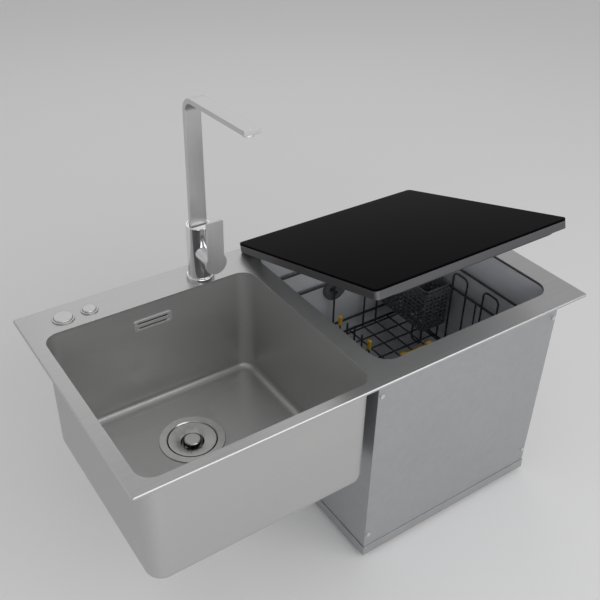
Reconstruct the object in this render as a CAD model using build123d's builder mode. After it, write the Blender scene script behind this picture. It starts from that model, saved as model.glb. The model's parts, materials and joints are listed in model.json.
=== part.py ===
"""Worktop unit that joins a sink bowl with its tap and a top-opening dishwasher under one steel plate.

Millimetres, +Z up, +X to the right along the plate, -Y towards the user.
The origin is under the middle of the plate, on the floor that the feet stand on.
"""

from build123d import *

import os
from math import cos, radians, sin, tan

# Top plate, whose length and width follow from its two openings and the borders round them
LEFT_BORDER = 22.0
STRIP_WIDTH = 33.0
RIGHT_BORDER = 44.0
BOWL_FRONT_BORDER = 18.0
BOWL_BACK_BORDER = 71.0
TUB_FRONT_BORDER = 41.0
TUB_BACK_BORDER = 39.0
PLATE_TOP = 430.0
PLATE_SHEET = 3.0
PLATE_EDGE = 4.5
PLATE_RIM = 9.0
PLATE_CORNER = 4.0
PLATE_BEVEL = 1.5

# Sink bowl, with its floor falling to the drain
BOWL_LENGTH = 375.0
BOWL_WIDTH = 361.0
BOWL_DEPTH = 215.0
BOWL_FALL = 5.0
BOWL_CORNER = 26.0
BOWL_FOLD = 14.0
BOWL_SHEET = 1.2
BOWL_FLANGE = 6.0

# Overflow in the bowl's back wall
OVERFLOW_DROP = 40.0
OVERFLOW_COVER_LENGTH = 70.0
OVERFLOW_COVER_HEIGHT = 21.0
OVERFLOW_COVER_SHEET = 2.0
OVERFLOW_SLOT = 6.0
OVERFLOW_BOX_DEPTH = 24.0
OVERFLOW_PIPE_RADIUS = 11.0
OVERFLOW_PIPE_WALL = 1.5
OVERFLOW_PIPE_BEND = 34.0

# Drain and strainer
DRAIN_BACK = 58.5
DRAIN_FLANGE_RADIUS = 57.0
DRAIN_FLANGE_SHEET = 1.6
DRAIN_SEAT = 60.0
DRAIN_CUP_RADIUS = 44.0
DRAIN_CUP_DEPTH = 40.0
DRAIN_CUP_WALL = 1.5
DRAIN_HOLE_CLEARANCE = 1.0
DRAIN_BODY_WALL = 4.0
DRAIN_BODY_DEPTH = 72.0
TAIL_RADIUS = 20.0
TAIL_WALL = 2.0
TAIL_LENGTH = 85.0
LIFTER_STEM_RADIUS = 4.0
LIFTER_CAP_RADIUS = 16.0
LIFTER_CAP_THICKNESS = 3.0
LIFTER_STEM_LENGTH = 24.0
STRAINER_RADIUS = 41.0
STRAINER_CUP_RADIUS = 22.0
STRAINER_DISH = 4.5
STRAINER_SHEET = 1.5
STRAINER_WINDOWS = 10
KNOB_RADIUS = 14.5
KNOB_HEIGHT = 8.0

# Push buttons on the plate, behind the bowl
BUTTON_BEHIND = 32.0
DRAIN_BUTTON_PLACE = 48.0
DRAIN_BUTTON_RADIUS = 15.2
DRAIN_BUTTON_TRAVEL = 4.0
BUTTON_SPACING = 44.5
AIR_BUTTON_RADIUS = 11.0
AIR_BUTTON_TRAVEL = 2.5
BUTTON_PROUD = 4.0
BUTTON_THICKNESS = 3.0
BUTTON_GAP = 0.4
BUTTON_BUSH_WALL = 1.2
BUTTON_BUSH_LIP = 1.8
BUTTON_BUSH_RISE = 2.0
BUTTON_BUSH_DEPTH = 34.0
BUTTON_STEM_RADIUS = 4.0
CABLE_RADIUS = 2.5
CABLE_BEND = 60.0
CABLE_DROP = 44.0
CABLE_FERRULE_RADIUS = 6.5
CABLE_FERRULE_LENGTH = 8.0

# Tap
TAP_FROM_STRIP = 81.0
TAP_BEHIND = 24.0
TAP_RING_RADIUS = 24.5
TAP_RING_HEIGHT = 8.0
TAP_BODY_RADIUS = 21.0
TAP_BODY_HEIGHT = 105.0
TAP_BORE = 8.0
TAP_SHANK_RADIUS = 12.0
TAP_SHANK_LENGTH = 62.0
TAP_NUT_RADIUS = 17.2
TAP_NUT_THICKNESS = 9.0
BOSS_HEIGHT = 57.0
BOSS_RADIUS = 15.0
BOSS_REACH = 51.0
BOSS_BORE = 12.5
BOSS_ROUND = 3.0
LEVER_REACH = 60.0
LEVER_THICKNESS = 4.5
LEVER_DISC_RADIUS = 19.5
LEVER_WIDTH = 30.0
LEVER_RISE = 79.0
LEVER_HUB_RADIUS = 8.0
LEVER_PIVOT = 37.0
LEVER_TONGUE = 10.0
LEVER_PIN_RADIUS = 1.5
CARTRIDGE_START = 10.0
CARTRIDGE_END = 30.0
SPINDLE_RADIUS = 11.5
SPINDLE_DISC = 2.7
SPINDLE_EAR = 3.0
SPINDLE_SHAFT_RADIUS = 4.0
SPINDLE_SHAFT_LENGTH = 12.0
SPOUT_TOP = 337.0
SPOUT_REACH = 180.0
SPOUT_WIDTH = 28.0
SPOUT_FOOT_WIDTH = 30.0
SPOUT_TAPER_TOP = 60.0
SPOUT_THICKNESS = 8.0
SPOUT_WALL = 1.5
SPOUT_BEND = 22.0
SPOUT_TILT = 2.2
COLLAR_RADIUS = 17.2
COLLAR_HEIGHT = 8.0
COLLAR_STEM_RADIUS = 12.0
COLLAR_STEM_LENGTH = 18.0
COLLAR_SLOT_DEPTH = 6.0
COLLAR_SLOT_FRONT = 7.0
COLLAR_RECESS = 1.5
AERATOR_RADIUS = 9.0
AERATOR_HEIGHT = 5.0
AERATOR_INSET = 13.0

# Dishwasher opening, tub and casing
TUB_LENGTH = 376.0
TUB_WIDTH = 370.0
TUB_CORNER = 32.0
TUB_DEPTH = 300.0
TUB_SHEET = 1.0
TUB_STEP = 2.0
TUB_FLANGE = 6.0
TUB_FOLD = 9.0
TUB_SEAL = 2.5
CASING_MARGIN = 13.0
CASING_SHEET = 1.0
CASING_RETURN = 12.0
BASE_SHEET = 1.2
BASE_WALL = 20.0
FOOT_HEIGHT = 8.0
FOOT_RADIUS = 18.0
FOOT_INSET = 31.0
SCREW_RADIUS = 2.0
SCREW_HEAD_RADIUS = 4.0
SCREW_LENGTH = 10.0
SCREW_HEAD_HEIGHT = 2.4

# Lid, drawn as it stands open, about its hinge axis
LID_ANGLE = 16.5
LID_SIDE_OVERLAP = 15.0
LID_FRONT_OVERLAP = 6.0
LID_CORNER = 8.0
LID_GLASS = 4.0
LID_FRAME_HEIGHT = 13.4
LID_RAIL = 12.0
LID_REAR_RAIL = 20.0
LID_BEHIND_AXIS = 4.0
LID_GAP = 2.0
LID_PAN = 1.0
LID_SEAL_HEIGHT = 1.7
LID_SEAL_WIDTH = 4.0
LID_SEAL_OUTSET = 1.0
HINGE_BEHIND = 24.0
HINGE_RISE = 10.0
HINGE_SPACING = 300.0
HINGE_LENGTH = 20.0
HINGE_KNUCKLE = 5.0
HINGE_PIN_RADIUS = 3.0
HINGE_PIN_LENGTH = 44.0
HINGE_SIDE_GAP = 0.8
HINGE_STEM = 8.0
HINGE_NOTCH = 9.0

# Wash system under and in the tub
SUMP_RIGHT = 85.0
SUMP_FRONT = 85.0
SUMP_RADIUS = 55.0
SUMP_WALL = 2.5
SUMP_DEPTH = 58.0
SUCTION_RADIUS = 10.5
FILTER_PLATE_RADIUS = 64.0
FILTER_RADIUS = 35.0
FILTER_WALL = 1.5
FILTER_DEPTH = 46.0
PUMP_RADIUS = 45.0
PUMP_HEIGHT = 41.0
PUMP_WALL = 4.0
POST_RADIUS = 12.0
POST_SHOULDER = 16.0
MOTOR_RADIUS = 38.0
MOTOR_HEIGHT = 62.0
IMPELLER_RADIUS = 30.0
SHAFT_RADIUS = 4.0
ARM_RADIUS = 150.0
ARM_LIFT = 18.0
ARM_HEIGHT = 14.0
ARM_TIP_WIDTH = 30.0
ARM_HUB_RADIUS = 24.0
DRAIN_PUMP_RADIUS = 26.0
DRAIN_PUMP_LENGTH = 50.0
DRAIN_IMPELLER_RADIUS = 14.0
PIPE_RADIUS = 8.0
SPIGOT_RADIUS = 9.5
SPIGOT_LENGTH = 23.0
INLET_LEFT = 133.0
INLET_Z = 60.0
INLET_THREAD_RADIUS = 13.2
INLET_THREAD_LENGTH = 18.0
INLET_NECK_RADIUS = 12.0
VALVE_BODY = 40.0
HEATER_RADIUS = 22.0
HEATER_LENGTH = 96.0
CONTROL_LENGTH = 110.0
CONTROL_WIDTH = 80.0
CONTROL_HEIGHT = 40.0
VENT_DROP = 134.0
VENT_RADIUS = 27.0
VENT_DEPTH = 8.0

# Wire rack, its folding tines and the cutlery basket
RACK_GAP = 13.0
RACK_FLOOR_LIFT = 52.0
RACK_TOP_DROP = 60.0
RAIL_RADIUS = 2.5
WIRE_RADIUS = 1.75
WIRE_COUNT = 11
RACK_LEG_PLACE = 116.0
POST_WIRE = 3.0
SECOND_RAIL_DROP = 52.0
HOOP_RADIUS = 2.0
HOOP_WIDTH = 38.0
HOOP_DROP = 16.0
HOOP_PLACES = (-136.0, -67.0, 14.5, 100.0)
SIDE_UPRIGHTS = (-102.0, -33.0, 58.0, 146.0)
END_UPRIGHTS = (-7.0, 73.0, 107.0)
END_RAIL_LIFT = 31.0
TINE_RADIUS = 2.0
TINE_HEIGHT = 100.0
LEFT_TINES_LEFT = 43.0
LEFT_TINES_BACK = 59.5
LEFT_TINE_PITCH = 22.75
LEFT_TINE_COUNT = 5
FRONT_TINES_RIGHT = 10.0
FRONT_TINES_FRONT = 57.0
FRONT_TINE_PITCH = 20.0
FRONT_TINE_COUNT = 4
TINE_CAP_RADIUS = 4.0
TINE_CAP_LENGTH = 20.0
TINE_HANDLE_HEIGHT = 7.0
TINE_HANDLE_WIDTH = 8.0
TINE_GRIP_LENGTH = 11.0
TINE_GRIP_PROUD = 2.5
BASKET_LENGTH = 128.0
BASKET_WIDTH = 61.0
BASKET_HEIGHT = 95.0
BASKET_WALL = 2.0
BASKET_BACK = 100.0
BASKET_HOOK_WIDTH = 14.0
BASKET_HOOK_DROP = 8.0
BASKET_HOOK_SPACING = 57.0

# Clearances
TURN_GAP = 0.06
SEAT_GAP = 0.3
FIT_GAP = 0.1

# Levels and places that follow from the sizes above
PLATE_LENGTH = LEFT_BORDER + BOWL_LENGTH + STRIP_WIDTH + TUB_LENGTH + RIGHT_BORDER
PLATE_WIDTH = max(
    BOWL_FRONT_BORDER + BOWL_WIDTH + BOWL_BACK_BORDER,
    TUB_FRONT_BORDER + TUB_WIDTH + TUB_BACK_BORDER,
)
BOWL_X = LEFT_BORDER + BOWL_LENGTH / 2 - PLATE_LENGTH / 2
BOWL_Y = BOWL_FRONT_BORDER + BOWL_WIDTH / 2 - PLATE_WIDTH / 2
TUB_X = PLATE_LENGTH / 2 - RIGHT_BORDER - TUB_LENGTH / 2
TUB_Y = TUB_FRONT_BORDER + TUB_WIDTH / 2 - PLATE_WIDTH / 2
DRAIN_X = BOWL_X
DRAIN_Y = BOWL_Y + DRAIN_BACK
BUTTON_Y = BOWL_Y + BOWL_WIDTH / 2 + BUTTON_BEHIND
DRAIN_BUTTON_X = BOWL_X - BOWL_LENGTH / 2 + DRAIN_BUTTON_PLACE
AIR_BUTTON_X = DRAIN_BUTTON_X + BUTTON_SPACING
TAP_X = BOWL_X + BOWL_LENGTH / 2 - TAP_FROM_STRIP
TAP_Y = BOWL_Y + BOWL_WIDTH / 2 + TAP_BEHIND
HINGE_Y = TUB_Y + TUB_WIDTH / 2 + HINGE_BEHIND
LID_LENGTH = TUB_LENGTH + 2 * LID_SIDE_OVERLAP
LID_WIDTH = LID_BEHIND_AXIS + HINGE_BEHIND + TUB_WIDTH + LID_FRONT_OVERLAP
SUMP_X = TUB_X + SUMP_RIGHT
SUMP_Y = TUB_Y - SUMP_FRONT
INLET_X = TUB_X - INLET_LEFT
LEFT_TINES_X = TUB_X - LEFT_TINES_LEFT
LEFT_TINES_Y = TUB_Y + LEFT_TINES_BACK
FRONT_TINES_X = TUB_X + FRONT_TINES_RIGHT
FRONT_TINES_Y = TUB_Y - FRONT_TINES_FRONT
BASKET_Y = TUB_Y + BASKET_BACK
PLATE_UNDER = PLATE_TOP - PLATE_SHEET
BOWL_FLOOR = PLATE_TOP - BOWL_DEPTH
BOWL_FLOOR_EDGE = BOWL_FLOOR + BOWL_FALL
BOWL_BACK = BOWL_Y + BOWL_WIDTH / 2
OVERFLOW_Z = PLATE_TOP - OVERFLOW_DROP
TUB_TOP = PLATE_UNDER - TUB_SEAL
TUB_FLOOR = PLATE_TOP - TUB_DEPTH
TUB_UNDER = TUB_FLOOR - TUB_SHEET
TUB_INNER_LENGTH = TUB_LENGTH + 2 * TUB_STEP
TUB_INNER_WIDTH = TUB_WIDTH + 2 * TUB_STEP
TUB_BACK = TUB_Y + TUB_INNER_WIDTH / 2
CASING_LENGTH = TUB_LENGTH + 2 * CASING_MARGIN
CASING_WIDTH = TUB_WIDTH + 2 * CASING_MARGIN
PANEL_LENGTH = CASING_LENGTH - 2 * (BASE_SHEET + FIT_GAP)
PANEL_WIDTH = CASING_WIDTH - 2 * (BASE_SHEET + FIT_GAP)
BASE_TOP = FOOT_HEIGHT + BASE_SHEET
PANEL_HEIGHT = PLATE_UNDER - BASE_TOP
BACK_FACE = TUB_Y + PANEL_WIDTH / 2
FRONT_FACE = TUB_Y - PANEL_WIDTH / 2
HINGE_Z = PLATE_TOP + HINGE_RISE
LID_PLANE = Plane(
    origin=(TUB_X, HINGE_Y, HINGE_Z),
    x_dir=(1, 0, 0),
    z_dir=(0, sin(radians(LID_ANGLE)), cos(radians(LID_ANGLE))),
)
LID_UNDER = LID_GAP - HINGE_RISE
LID_MID_Y = LID_BEHIND_AXIS - LID_WIDTH / 2
BOSS_Z = PLATE_TOP + BOSS_HEIGHT
TAP_TOP = PLATE_TOP + TAP_BODY_HEIGHT
COLLAR_FLOOR = TAP_TOP - COLLAR_HEIGHT - COLLAR_RECESS
COLLAR_TOP = COLLAR_FLOOR + SEAT_GAP + COLLAR_HEIGHT
SPOUT_FOOT = COLLAR_TOP - COLLAR_SLOT_DEPTH
SPOUT_CENTRE_TOP = PLATE_TOP + SPOUT_TOP - SPOUT_THICKNESS / 2
SPOUT_TIP = TAP_Y - SPOUT_REACH
SPOUT_CORNER = SPOUT_CENTRE_TOP - SPOUT_REACH * tan(radians(SPOUT_TILT))
SPOUT_MOUTH = Plane(
    origin=(TAP_X, SPOUT_TIP, SPOUT_CENTRE_TOP),
    x_dir=(1, 0, 0),
    z_dir=(0, sin(radians(SPOUT_TILT)), cos(radians(SPOUT_TILT))),
)
RACK_LENGTH = TUB_INNER_LENGTH - 2 * RACK_GAP
RACK_WIDTH = TUB_INNER_WIDTH - 2 * RACK_GAP
RACK_FLOOR = TUB_FLOOR + RACK_FLOOR_LIFT
RACK_TOP = PLATE_TOP - RACK_TOP_DROP
SECOND_RAIL = RACK_TOP - SECOND_RAIL_DROP
FLOOR_WIRE_STEP = 2 * WIRE_RADIUS + FIT_GAP
RACK_DECK = RACK_FLOOR + FLOOR_WIRE_STEP + WIRE_RADIUS
FRONT_ROD_Z = RACK_DECK + SEAT_GAP + RAIL_RADIUS
LEFT_ROD_Z = RACK_FLOOR + WIRE_RADIUS + SEAT_GAP + RAIL_RADIUS
BASKET_RIGHT = TUB_X + RACK_LENGTH / 2 - RAIL_RADIUS - 2.5
BASKET_X = BASKET_RIGHT - BASKET_WIDTH / 2
BASKET_TOP = SECOND_RAIL + RAIL_RADIUS + SEAT_GAP + BASKET_WALL + 4.0
BASKET_FLOOR = BASKET_TOP - BASKET_HEIGHT
PUMP_TOP = TUB_UNDER - 3.0
PUMP_BOTTOM = PUMP_TOP - PUMP_HEIGHT
ARM_BOTTOM = TUB_FLOOR + ARM_LIFT
DRAIN_PUMP_X = SUMP_X + SUMP_RADIUS
DRAIN_PUMP_Z = 95.0
OUTLET_X = DRAIN_PUMP_X + DRAIN_PUMP_LENGTH * 0.64


def lid_level(height):
    """The lid's own plane at a height above the hinge axis, square to the lid."""
    return LID_PLANE.offset(height)


def spread(count, length):
    """Evenly spaced places along a length, centred on zero, with one at each end."""
    return [length * (index / (count - 1) - 0.5) for index in range(count)]


def upright(x, y):
    """The vertical axis through a point of the plan."""
    return Axis((x, y, 0), (0, 0, 1))


def turned_face(points, x, y, z):
    """An outline of radius and height pairs, ready to turn about the vertical axis at x, y."""
    with BuildSketch(Plane(origin=(x, y, z), x_dir=(1, 0, 0), z_dir=(0, -1, 0))) as face:
        with BuildLine():
            Polyline(*points, close=True)
        make_face()
    return face.sketch


def wire_along_x(x, y, z, length, radius):
    """A straight wire parallel to X, centred on a point."""
    with Locations(Location((x, y, z), (0, 90, 0))):
        Cylinder(radius, length)


def wire_along_y(x, y, z, length, radius):
    """A straight wire parallel to Y, centred on a point."""
    with Locations(Location((x, y, z), (90, 0, 0))):
        Cylinder(radius, length)


def wire_upright(x, y, low, high, radius):
    """A vertical wire between two levels."""
    with Locations((x, y, low)):
        Cylinder(radius, high - low, align=(Align.CENTER, Align.CENTER, Align.MIN))


# Top plate: one bevelled sheet with a deeper rim that rests on the worktop
with BuildPart() as top_plate:
    with BuildSketch(Plane.XY.offset(PLATE_TOP)):
        RectangleRounded(PLATE_LENGTH, PLATE_WIDTH, PLATE_CORNER)
    extrude(amount=-PLATE_EDGE)
    with BuildSketch(Plane.XY.offset(PLATE_UNDER)):
        Rectangle(PLATE_LENGTH - 2 * PLATE_RIM, PLATE_WIDTH - 2 * PLATE_RIM)
    extrude(amount=-PLATE_EDGE, mode=Mode.SUBTRACT)
    chamfer(top_plate.faces().sort_by(Axis.Z)[-1].outer_wire().edges(), PLATE_BEVEL)
    with BuildSketch(Plane.XY.offset(PLATE_TOP)):
        with Locations((BOWL_X, BOWL_Y)):
            RectangleRounded(BOWL_LENGTH, BOWL_WIDTH, BOWL_CORNER)
        with Locations((TUB_X, TUB_Y)):
            RectangleRounded(TUB_LENGTH, TUB_WIDTH, TUB_CORNER)
        with Locations((TAP_X, TAP_Y)):
            Circle(TAP_SHANK_RADIUS + 0.5)
        with Locations((DRAIN_BUTTON_X, BUTTON_Y)):
            Circle(DRAIN_BUTTON_RADIUS + BUTTON_GAP + BUTTON_BUSH_WALL + FIT_GAP)
        with Locations((AIR_BUTTON_X, BUTTON_Y)):
            Circle(AIR_BUTTON_RADIUS + BUTTON_GAP + BUTTON_BUSH_WALL + FIT_GAP)
    extrude(amount=-PLATE_SHEET, mode=Mode.SUBTRACT)

# Sink bowl: flange, straight walls, folded floor edge and four faces falling to the drain
def bowl_space(sheet):
    """The space inside the bowl, grown by a sheet's thickness on the walls and the floor."""
    with BuildPart() as space:
        with BuildSketch(Plane.XY.offset(PLATE_UNDER)):
            with Locations((BOWL_X, BOWL_Y)):
                RectangleRounded(
                    BOWL_LENGTH + 2 * sheet, BOWL_WIDTH + 2 * sheet, BOWL_CORNER + sheet
                )
        extrude(amount=-(PLATE_UNDER - BOWL_FLOOR_EDGE + sheet))
        fillet(space.faces().sort_by(Axis.Z)[0].edges(), BOWL_FOLD + sheet)
        with BuildSketch(Plane.XY.offset(BOWL_FLOOR_EDGE - sheet)):
            with Locations((BOWL_X, BOWL_Y)):
                Rectangle(BOWL_LENGTH - 2 * BOWL_CORNER, BOWL_WIDTH - 2 * BOWL_CORNER)
        with BuildSketch(Plane.XY.offset(BOWL_FLOOR - sheet)):
            with Locations((DRAIN_X, DRAIN_Y)):
                Rectangle(2 * DRAIN_SEAT, 2 * DRAIN_SEAT)
        loft(ruled=True)
    return space.part


bowl_outside = bowl_space(BOWL_SHEET)
bowl_inside = bowl_space(0.0)
with BuildPart() as sink_bowl:
    with BuildSketch(Plane.XY.offset(PLATE_UNDER)):
        with Locations((BOWL_X, BOWL_Y)):
            RectangleRounded(
                BOWL_LENGTH + 2 * BOWL_FLANGE,
                BOWL_WIDTH + 2 * BOWL_FLANGE,
                BOWL_CORNER + BOWL_FLANGE,
            )
    extrude(amount=-BOWL_SHEET)
    add(bowl_outside)
    add(bowl_inside, mode=Mode.SUBTRACT)
    with Locations((DRAIN_X, DRAIN_Y, BOWL_FLOOR)):
        Cylinder(DRAIN_CUP_RADIUS + DRAIN_HOLE_CLEARANCE, 4 * BOWL_SHEET, mode=Mode.SUBTRACT)
    with BuildSketch(Plane.XZ.offset(-BOWL_BACK)):
        with Locations((BOWL_X, OVERFLOW_Z)):
            SlotOverall(OVERFLOW_COVER_LENGTH - 12, OVERFLOW_COVER_HEIGHT - 9)
    extrude(amount=-3 * BOWL_SHEET, mode=Mode.SUBTRACT)

# Overflow cover: a plate just inside the bowl's back wall, with water slots above and below
with BuildPart() as overflow_cover:
    with BuildSketch(Plane.XZ.offset(-BOWL_BACK)):
        with Locations((BOWL_X, OVERFLOW_Z)):
            RectangleRounded(OVERFLOW_COVER_LENGTH, OVERFLOW_COVER_HEIGHT, 5)
            RectangleRounded(
                OVERFLOW_COVER_LENGTH - 10, OVERFLOW_COVER_HEIGHT - 9, 3, mode=Mode.SUBTRACT
            )
    extrude(amount=OVERFLOW_COVER_SHEET)
    with BuildSketch(Plane.XZ.offset(-BOWL_BACK)):
        with Locations((BOWL_X, OVERFLOW_Z)):
            Rectangle(OVERFLOW_COVER_LENGTH - 10, OVERFLOW_COVER_HEIGHT - 9 - OVERFLOW_SLOT)
    extrude(amount=OVERFLOW_COVER_SHEET)

# Overflow box on the outside of the back wall, and its pipe down to the drain body
OVERFLOW_BOX_FRONT = BOWL_BACK + BOWL_SHEET
OVERFLOW_PIPE_Y = OVERFLOW_BOX_FRONT + OVERFLOW_BOX_DEPTH / 2
DRAIN_BODY_RADIUS = DRAIN_CUP_RADIUS + FIT_GAP + DRAIN_BODY_WALL
DRAIN_PORT_Z = BOWL_FLOOR - 30.0
DRAIN_PORT_RADIUS = OVERFLOW_PIPE_RADIUS - 4.0
with BuildPart() as overflow_pipe:
    with BuildSketch(Plane.XZ.offset(-OVERFLOW_BOX_FRONT)):
        with Locations((BOWL_X, OVERFLOW_Z)):
            RectangleRounded(OVERFLOW_COVER_LENGTH + 8, OVERFLOW_COVER_HEIGHT + 8, 6)
    extrude(amount=-OVERFLOW_BOX_DEPTH)
    with BuildLine() as overflow_route:
        FilletPolyline(
            (BOWL_X, OVERFLOW_PIPE_Y, OVERFLOW_Z),
            (BOWL_X, OVERFLOW_PIPE_Y, DRAIN_PORT_Z),
            (BOWL_X, DRAIN_Y + DRAIN_BODY_RADIUS + SEAT_GAP, DRAIN_PORT_Z),
            radius=OVERFLOW_PIPE_BEND,
        )
    with BuildSketch(Plane(overflow_route.wires()[0] @ 0, z_dir=(0, 0, -1))):
        Circle(OVERFLOW_PIPE_RADIUS)
    sweep(path=overflow_route.wires()[0])
    with BuildSketch(Plane.XZ.offset(-OVERFLOW_BOX_FRONT)):
        with Locations((BOWL_X, OVERFLOW_Z)):
            RectangleRounded(OVERFLOW_COVER_LENGTH + 4, OVERFLOW_COVER_HEIGHT + 4, 5)
    extrude(amount=-(OVERFLOW_BOX_DEPTH - 2), mode=Mode.SUBTRACT)
    with BuildSketch(Plane(overflow_route.wires()[0] @ 0, z_dir=(0, 0, -1))):
        Circle(OVERFLOW_PIPE_RADIUS - OVERFLOW_PIPE_WALL)
    sweep(path=overflow_route.wires()[0], mode=Mode.SUBTRACT)

# Drain flange: a ring on the bowl floor, with a cup through it and a cross that guides the lifter
CUP_BOTTOM = -DRAIN_CUP_DEPTH
CUP_LIP = CUP_BOTTOM + DRAIN_CUP_WALL
with BuildPart() as drain_flange:
    cup_outline = [
        (DRAIN_CUP_RADIUS, 0),
        (DRAIN_FLANGE_RADIUS, 0),
        (DRAIN_FLANGE_RADIUS - 1, DRAIN_FLANGE_SHEET),
        (DRAIN_CUP_RADIUS, DRAIN_FLANGE_SHEET),
        (DRAIN_CUP_RADIUS - DRAIN_CUP_WALL, 0),
        (DRAIN_CUP_RADIUS - DRAIN_CUP_WALL, CUP_LIP),
        (TAIL_RADIUS, CUP_LIP),
        (TAIL_RADIUS, CUP_BOTTOM),
        (DRAIN_CUP_RADIUS, CUP_BOTTOM),
    ]
    revolve(turned_face(cup_outline, DRAIN_X, DRAIN_Y, BOWL_FLOOR), axis=upright(DRAIN_X, DRAIN_Y))
    with Locations((DRAIN_X, DRAIN_Y, BOWL_FLOOR + CUP_LIP - DRAIN_CUP_WALL / 2)):
        Box(2 * TAIL_RADIUS + 1, 3, DRAIN_CUP_WALL)
        Box(3, 2 * TAIL_RADIUS + 1, DRAIN_CUP_WALL)
        Cylinder(LIFTER_STEM_RADIUS + 2.5, DRAIN_CUP_WALL)
        Cylinder(LIFTER_STEM_RADIUS + TURN_GAP, 2 * DRAIN_CUP_WALL, mode=Mode.SUBTRACT)
    with BuildSketch(Plane.XZ.offset(-DRAIN_Y)):
        with Locations((DRAIN_X, DRAIN_PORT_Z)):
            Circle(DRAIN_PORT_RADIUS)
    extrude(amount=-DRAIN_BODY_RADIUS, mode=Mode.SUBTRACT)

# Drain body under the bowl, clamped by its own collar
BODY_INNER = DRAIN_CUP_RADIUS + FIT_GAP
BODY_SHOULDER = CUP_BOTTOM - 16.0
with BuildPart() as drain_body:
    body_outline = [
        (BODY_INNER, -BOWL_SHEET),
        (DRAIN_FLANGE_RADIUS, -BOWL_SHEET),
        (DRAIN_FLANGE_RADIUS, -BOWL_SHEET - 6),
        (DRAIN_BODY_RADIUS, -BOWL_SHEET - 8),
        (DRAIN_BODY_RADIUS, BODY_SHOULDER),
        (TAIL_RADIUS + DRAIN_BODY_WALL, -DRAIN_BODY_DEPTH),
        (TAIL_RADIUS - TAIL_WALL, -DRAIN_BODY_DEPTH),
        (TAIL_RADIUS - TAIL_WALL, -DRAIN_BODY_DEPTH - 10),
        (TAIL_RADIUS - TAIL_WALL - 3, -DRAIN_BODY_DEPTH - 10),
        (TAIL_RADIUS - TAIL_WALL - 3, -DRAIN_BODY_DEPTH),
        (BODY_INNER, BODY_SHOULDER),
    ]
    revolve(turned_face(body_outline, DRAIN_X, DRAIN_Y, BOWL_FLOOR), axis=upright(DRAIN_X, DRAIN_Y))
    with BuildSketch(Plane.XZ.offset(-DRAIN_Y)):
        with Locations((DRAIN_X, DRAIN_PORT_Z)):
            Circle(DRAIN_PORT_RADIUS)
    extrude(amount=-2 * DRAIN_BODY_RADIUS, mode=Mode.SUBTRACT)

# Tail pipe, whose free end takes the waste trap
with BuildPart() as tail_pipe:
    with BuildSketch(Plane.XY.offset(BOWL_FLOOR - DRAIN_BODY_DEPTH)):
        with Locations((DRAIN_X, DRAIN_Y)):
            Circle(TAIL_RADIUS)
            Circle(TAIL_RADIUS - TAIL_WALL, mode=Mode.SUBTRACT)
    extrude(amount=-TAIL_LENGTH)

# Lifter: a mushroom whose stem slides in the cross of the drain flange
LIFTER_UNDER = BOWL_FLOOR + CUP_LIP + SEAT_GAP
with BuildPart() as drain_lifter:
    with BuildSketch(Plane.XY.offset(LIFTER_UNDER)):
        with Locations((DRAIN_X, DRAIN_Y)):
            Circle(LIFTER_CAP_RADIUS)
    extrude(amount=LIFTER_CAP_THICKNESS)
    with BuildSketch(Plane.XY.offset(LIFTER_UNDER)):
        with Locations((DRAIN_X, DRAIN_Y)):
            Circle(LIFTER_STEM_RADIUS)
    extrude(amount=-LIFTER_STEM_LENGTH)

# Strainer: a dished rim, a cup with windows and a knob to lift it by
STRAINER_BOTTOM = LIFTER_UNDER + LIFTER_CAP_THICKNESS + SEAT_GAP - BOWL_FLOOR
with BuildPart() as strainer_basket:
    strainer_outline = [
        (0, STRAINER_BOTTOM),
        (STRAINER_CUP_RADIUS, STRAINER_BOTTOM),
        (STRAINER_CUP_RADIUS, -STRAINER_DISH - STRAINER_SHEET),
        (STRAINER_RADIUS, -STRAINER_SHEET),
        (STRAINER_RADIUS, 0.5),
        (STRAINER_RADIUS - 3, 0.5),
        (STRAINER_CUP_RADIUS - STRAINER_SHEET, -STRAINER_DISH),
        (STRAINER_CUP_RADIUS - STRAINER_SHEET, STRAINER_BOTTOM + STRAINER_SHEET),
        (LIFTER_STEM_RADIUS, STRAINER_BOTTOM + STRAINER_SHEET),
        (LIFTER_STEM_RADIUS, -KNOB_HEIGHT),
        (KNOB_RADIUS - 1, -KNOB_HEIGHT),
        (KNOB_RADIUS, 1 - KNOB_HEIGHT),
        (KNOB_RADIUS, 0),
        (KNOB_RADIUS - 1.5, 1.5),
        (0, 1.5),
    ]
    revolve(turned_face(strainer_outline, DRAIN_X, DRAIN_Y, BOWL_FLOOR), axis=upright(DRAIN_X, DRAIN_Y))
    with Locations((DRAIN_X, DRAIN_Y, BOWL_FLOOR + (STRAINER_BOTTOM - STRAINER_DISH) / 2)):
        with PolarLocations(STRAINER_CUP_RADIUS, STRAINER_WINDOWS):
            Box(6, 5, -STRAINER_BOTTOM - STRAINER_DISH - 10, mode=Mode.SUBTRACT)


# Push buttons and their bushes: a round cap in a low ring, with a stem below
def bush_outline(radius, travel):
    """The bush's section: lip on the plate, cup for the cap and neck for the stem."""
    inner = radius + BUTTON_GAP
    outer = inner + BUTTON_BUSH_WALL
    cup_floor = BUTTON_PROUD - BUTTON_THICKNESS - travel - SEAT_GAP
    bore = BUTTON_STEM_RADIUS + TURN_GAP
    neck = BUTTON_STEM_RADIUS + 3.0
    return [
        (inner, BUTTON_BUSH_RISE),
        (outer + BUTTON_BUSH_LIP, BUTTON_BUSH_RISE),
        (outer + BUTTON_BUSH_LIP, 0),
        (outer, 0),
        (outer, cup_floor - 2),
        (neck, cup_floor - 2),
        (neck, -BUTTON_BUSH_DEPTH),
        (bore, -BUTTON_BUSH_DEPTH),
        (bore, cup_floor),
        (inner, cup_floor),
    ]


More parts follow.
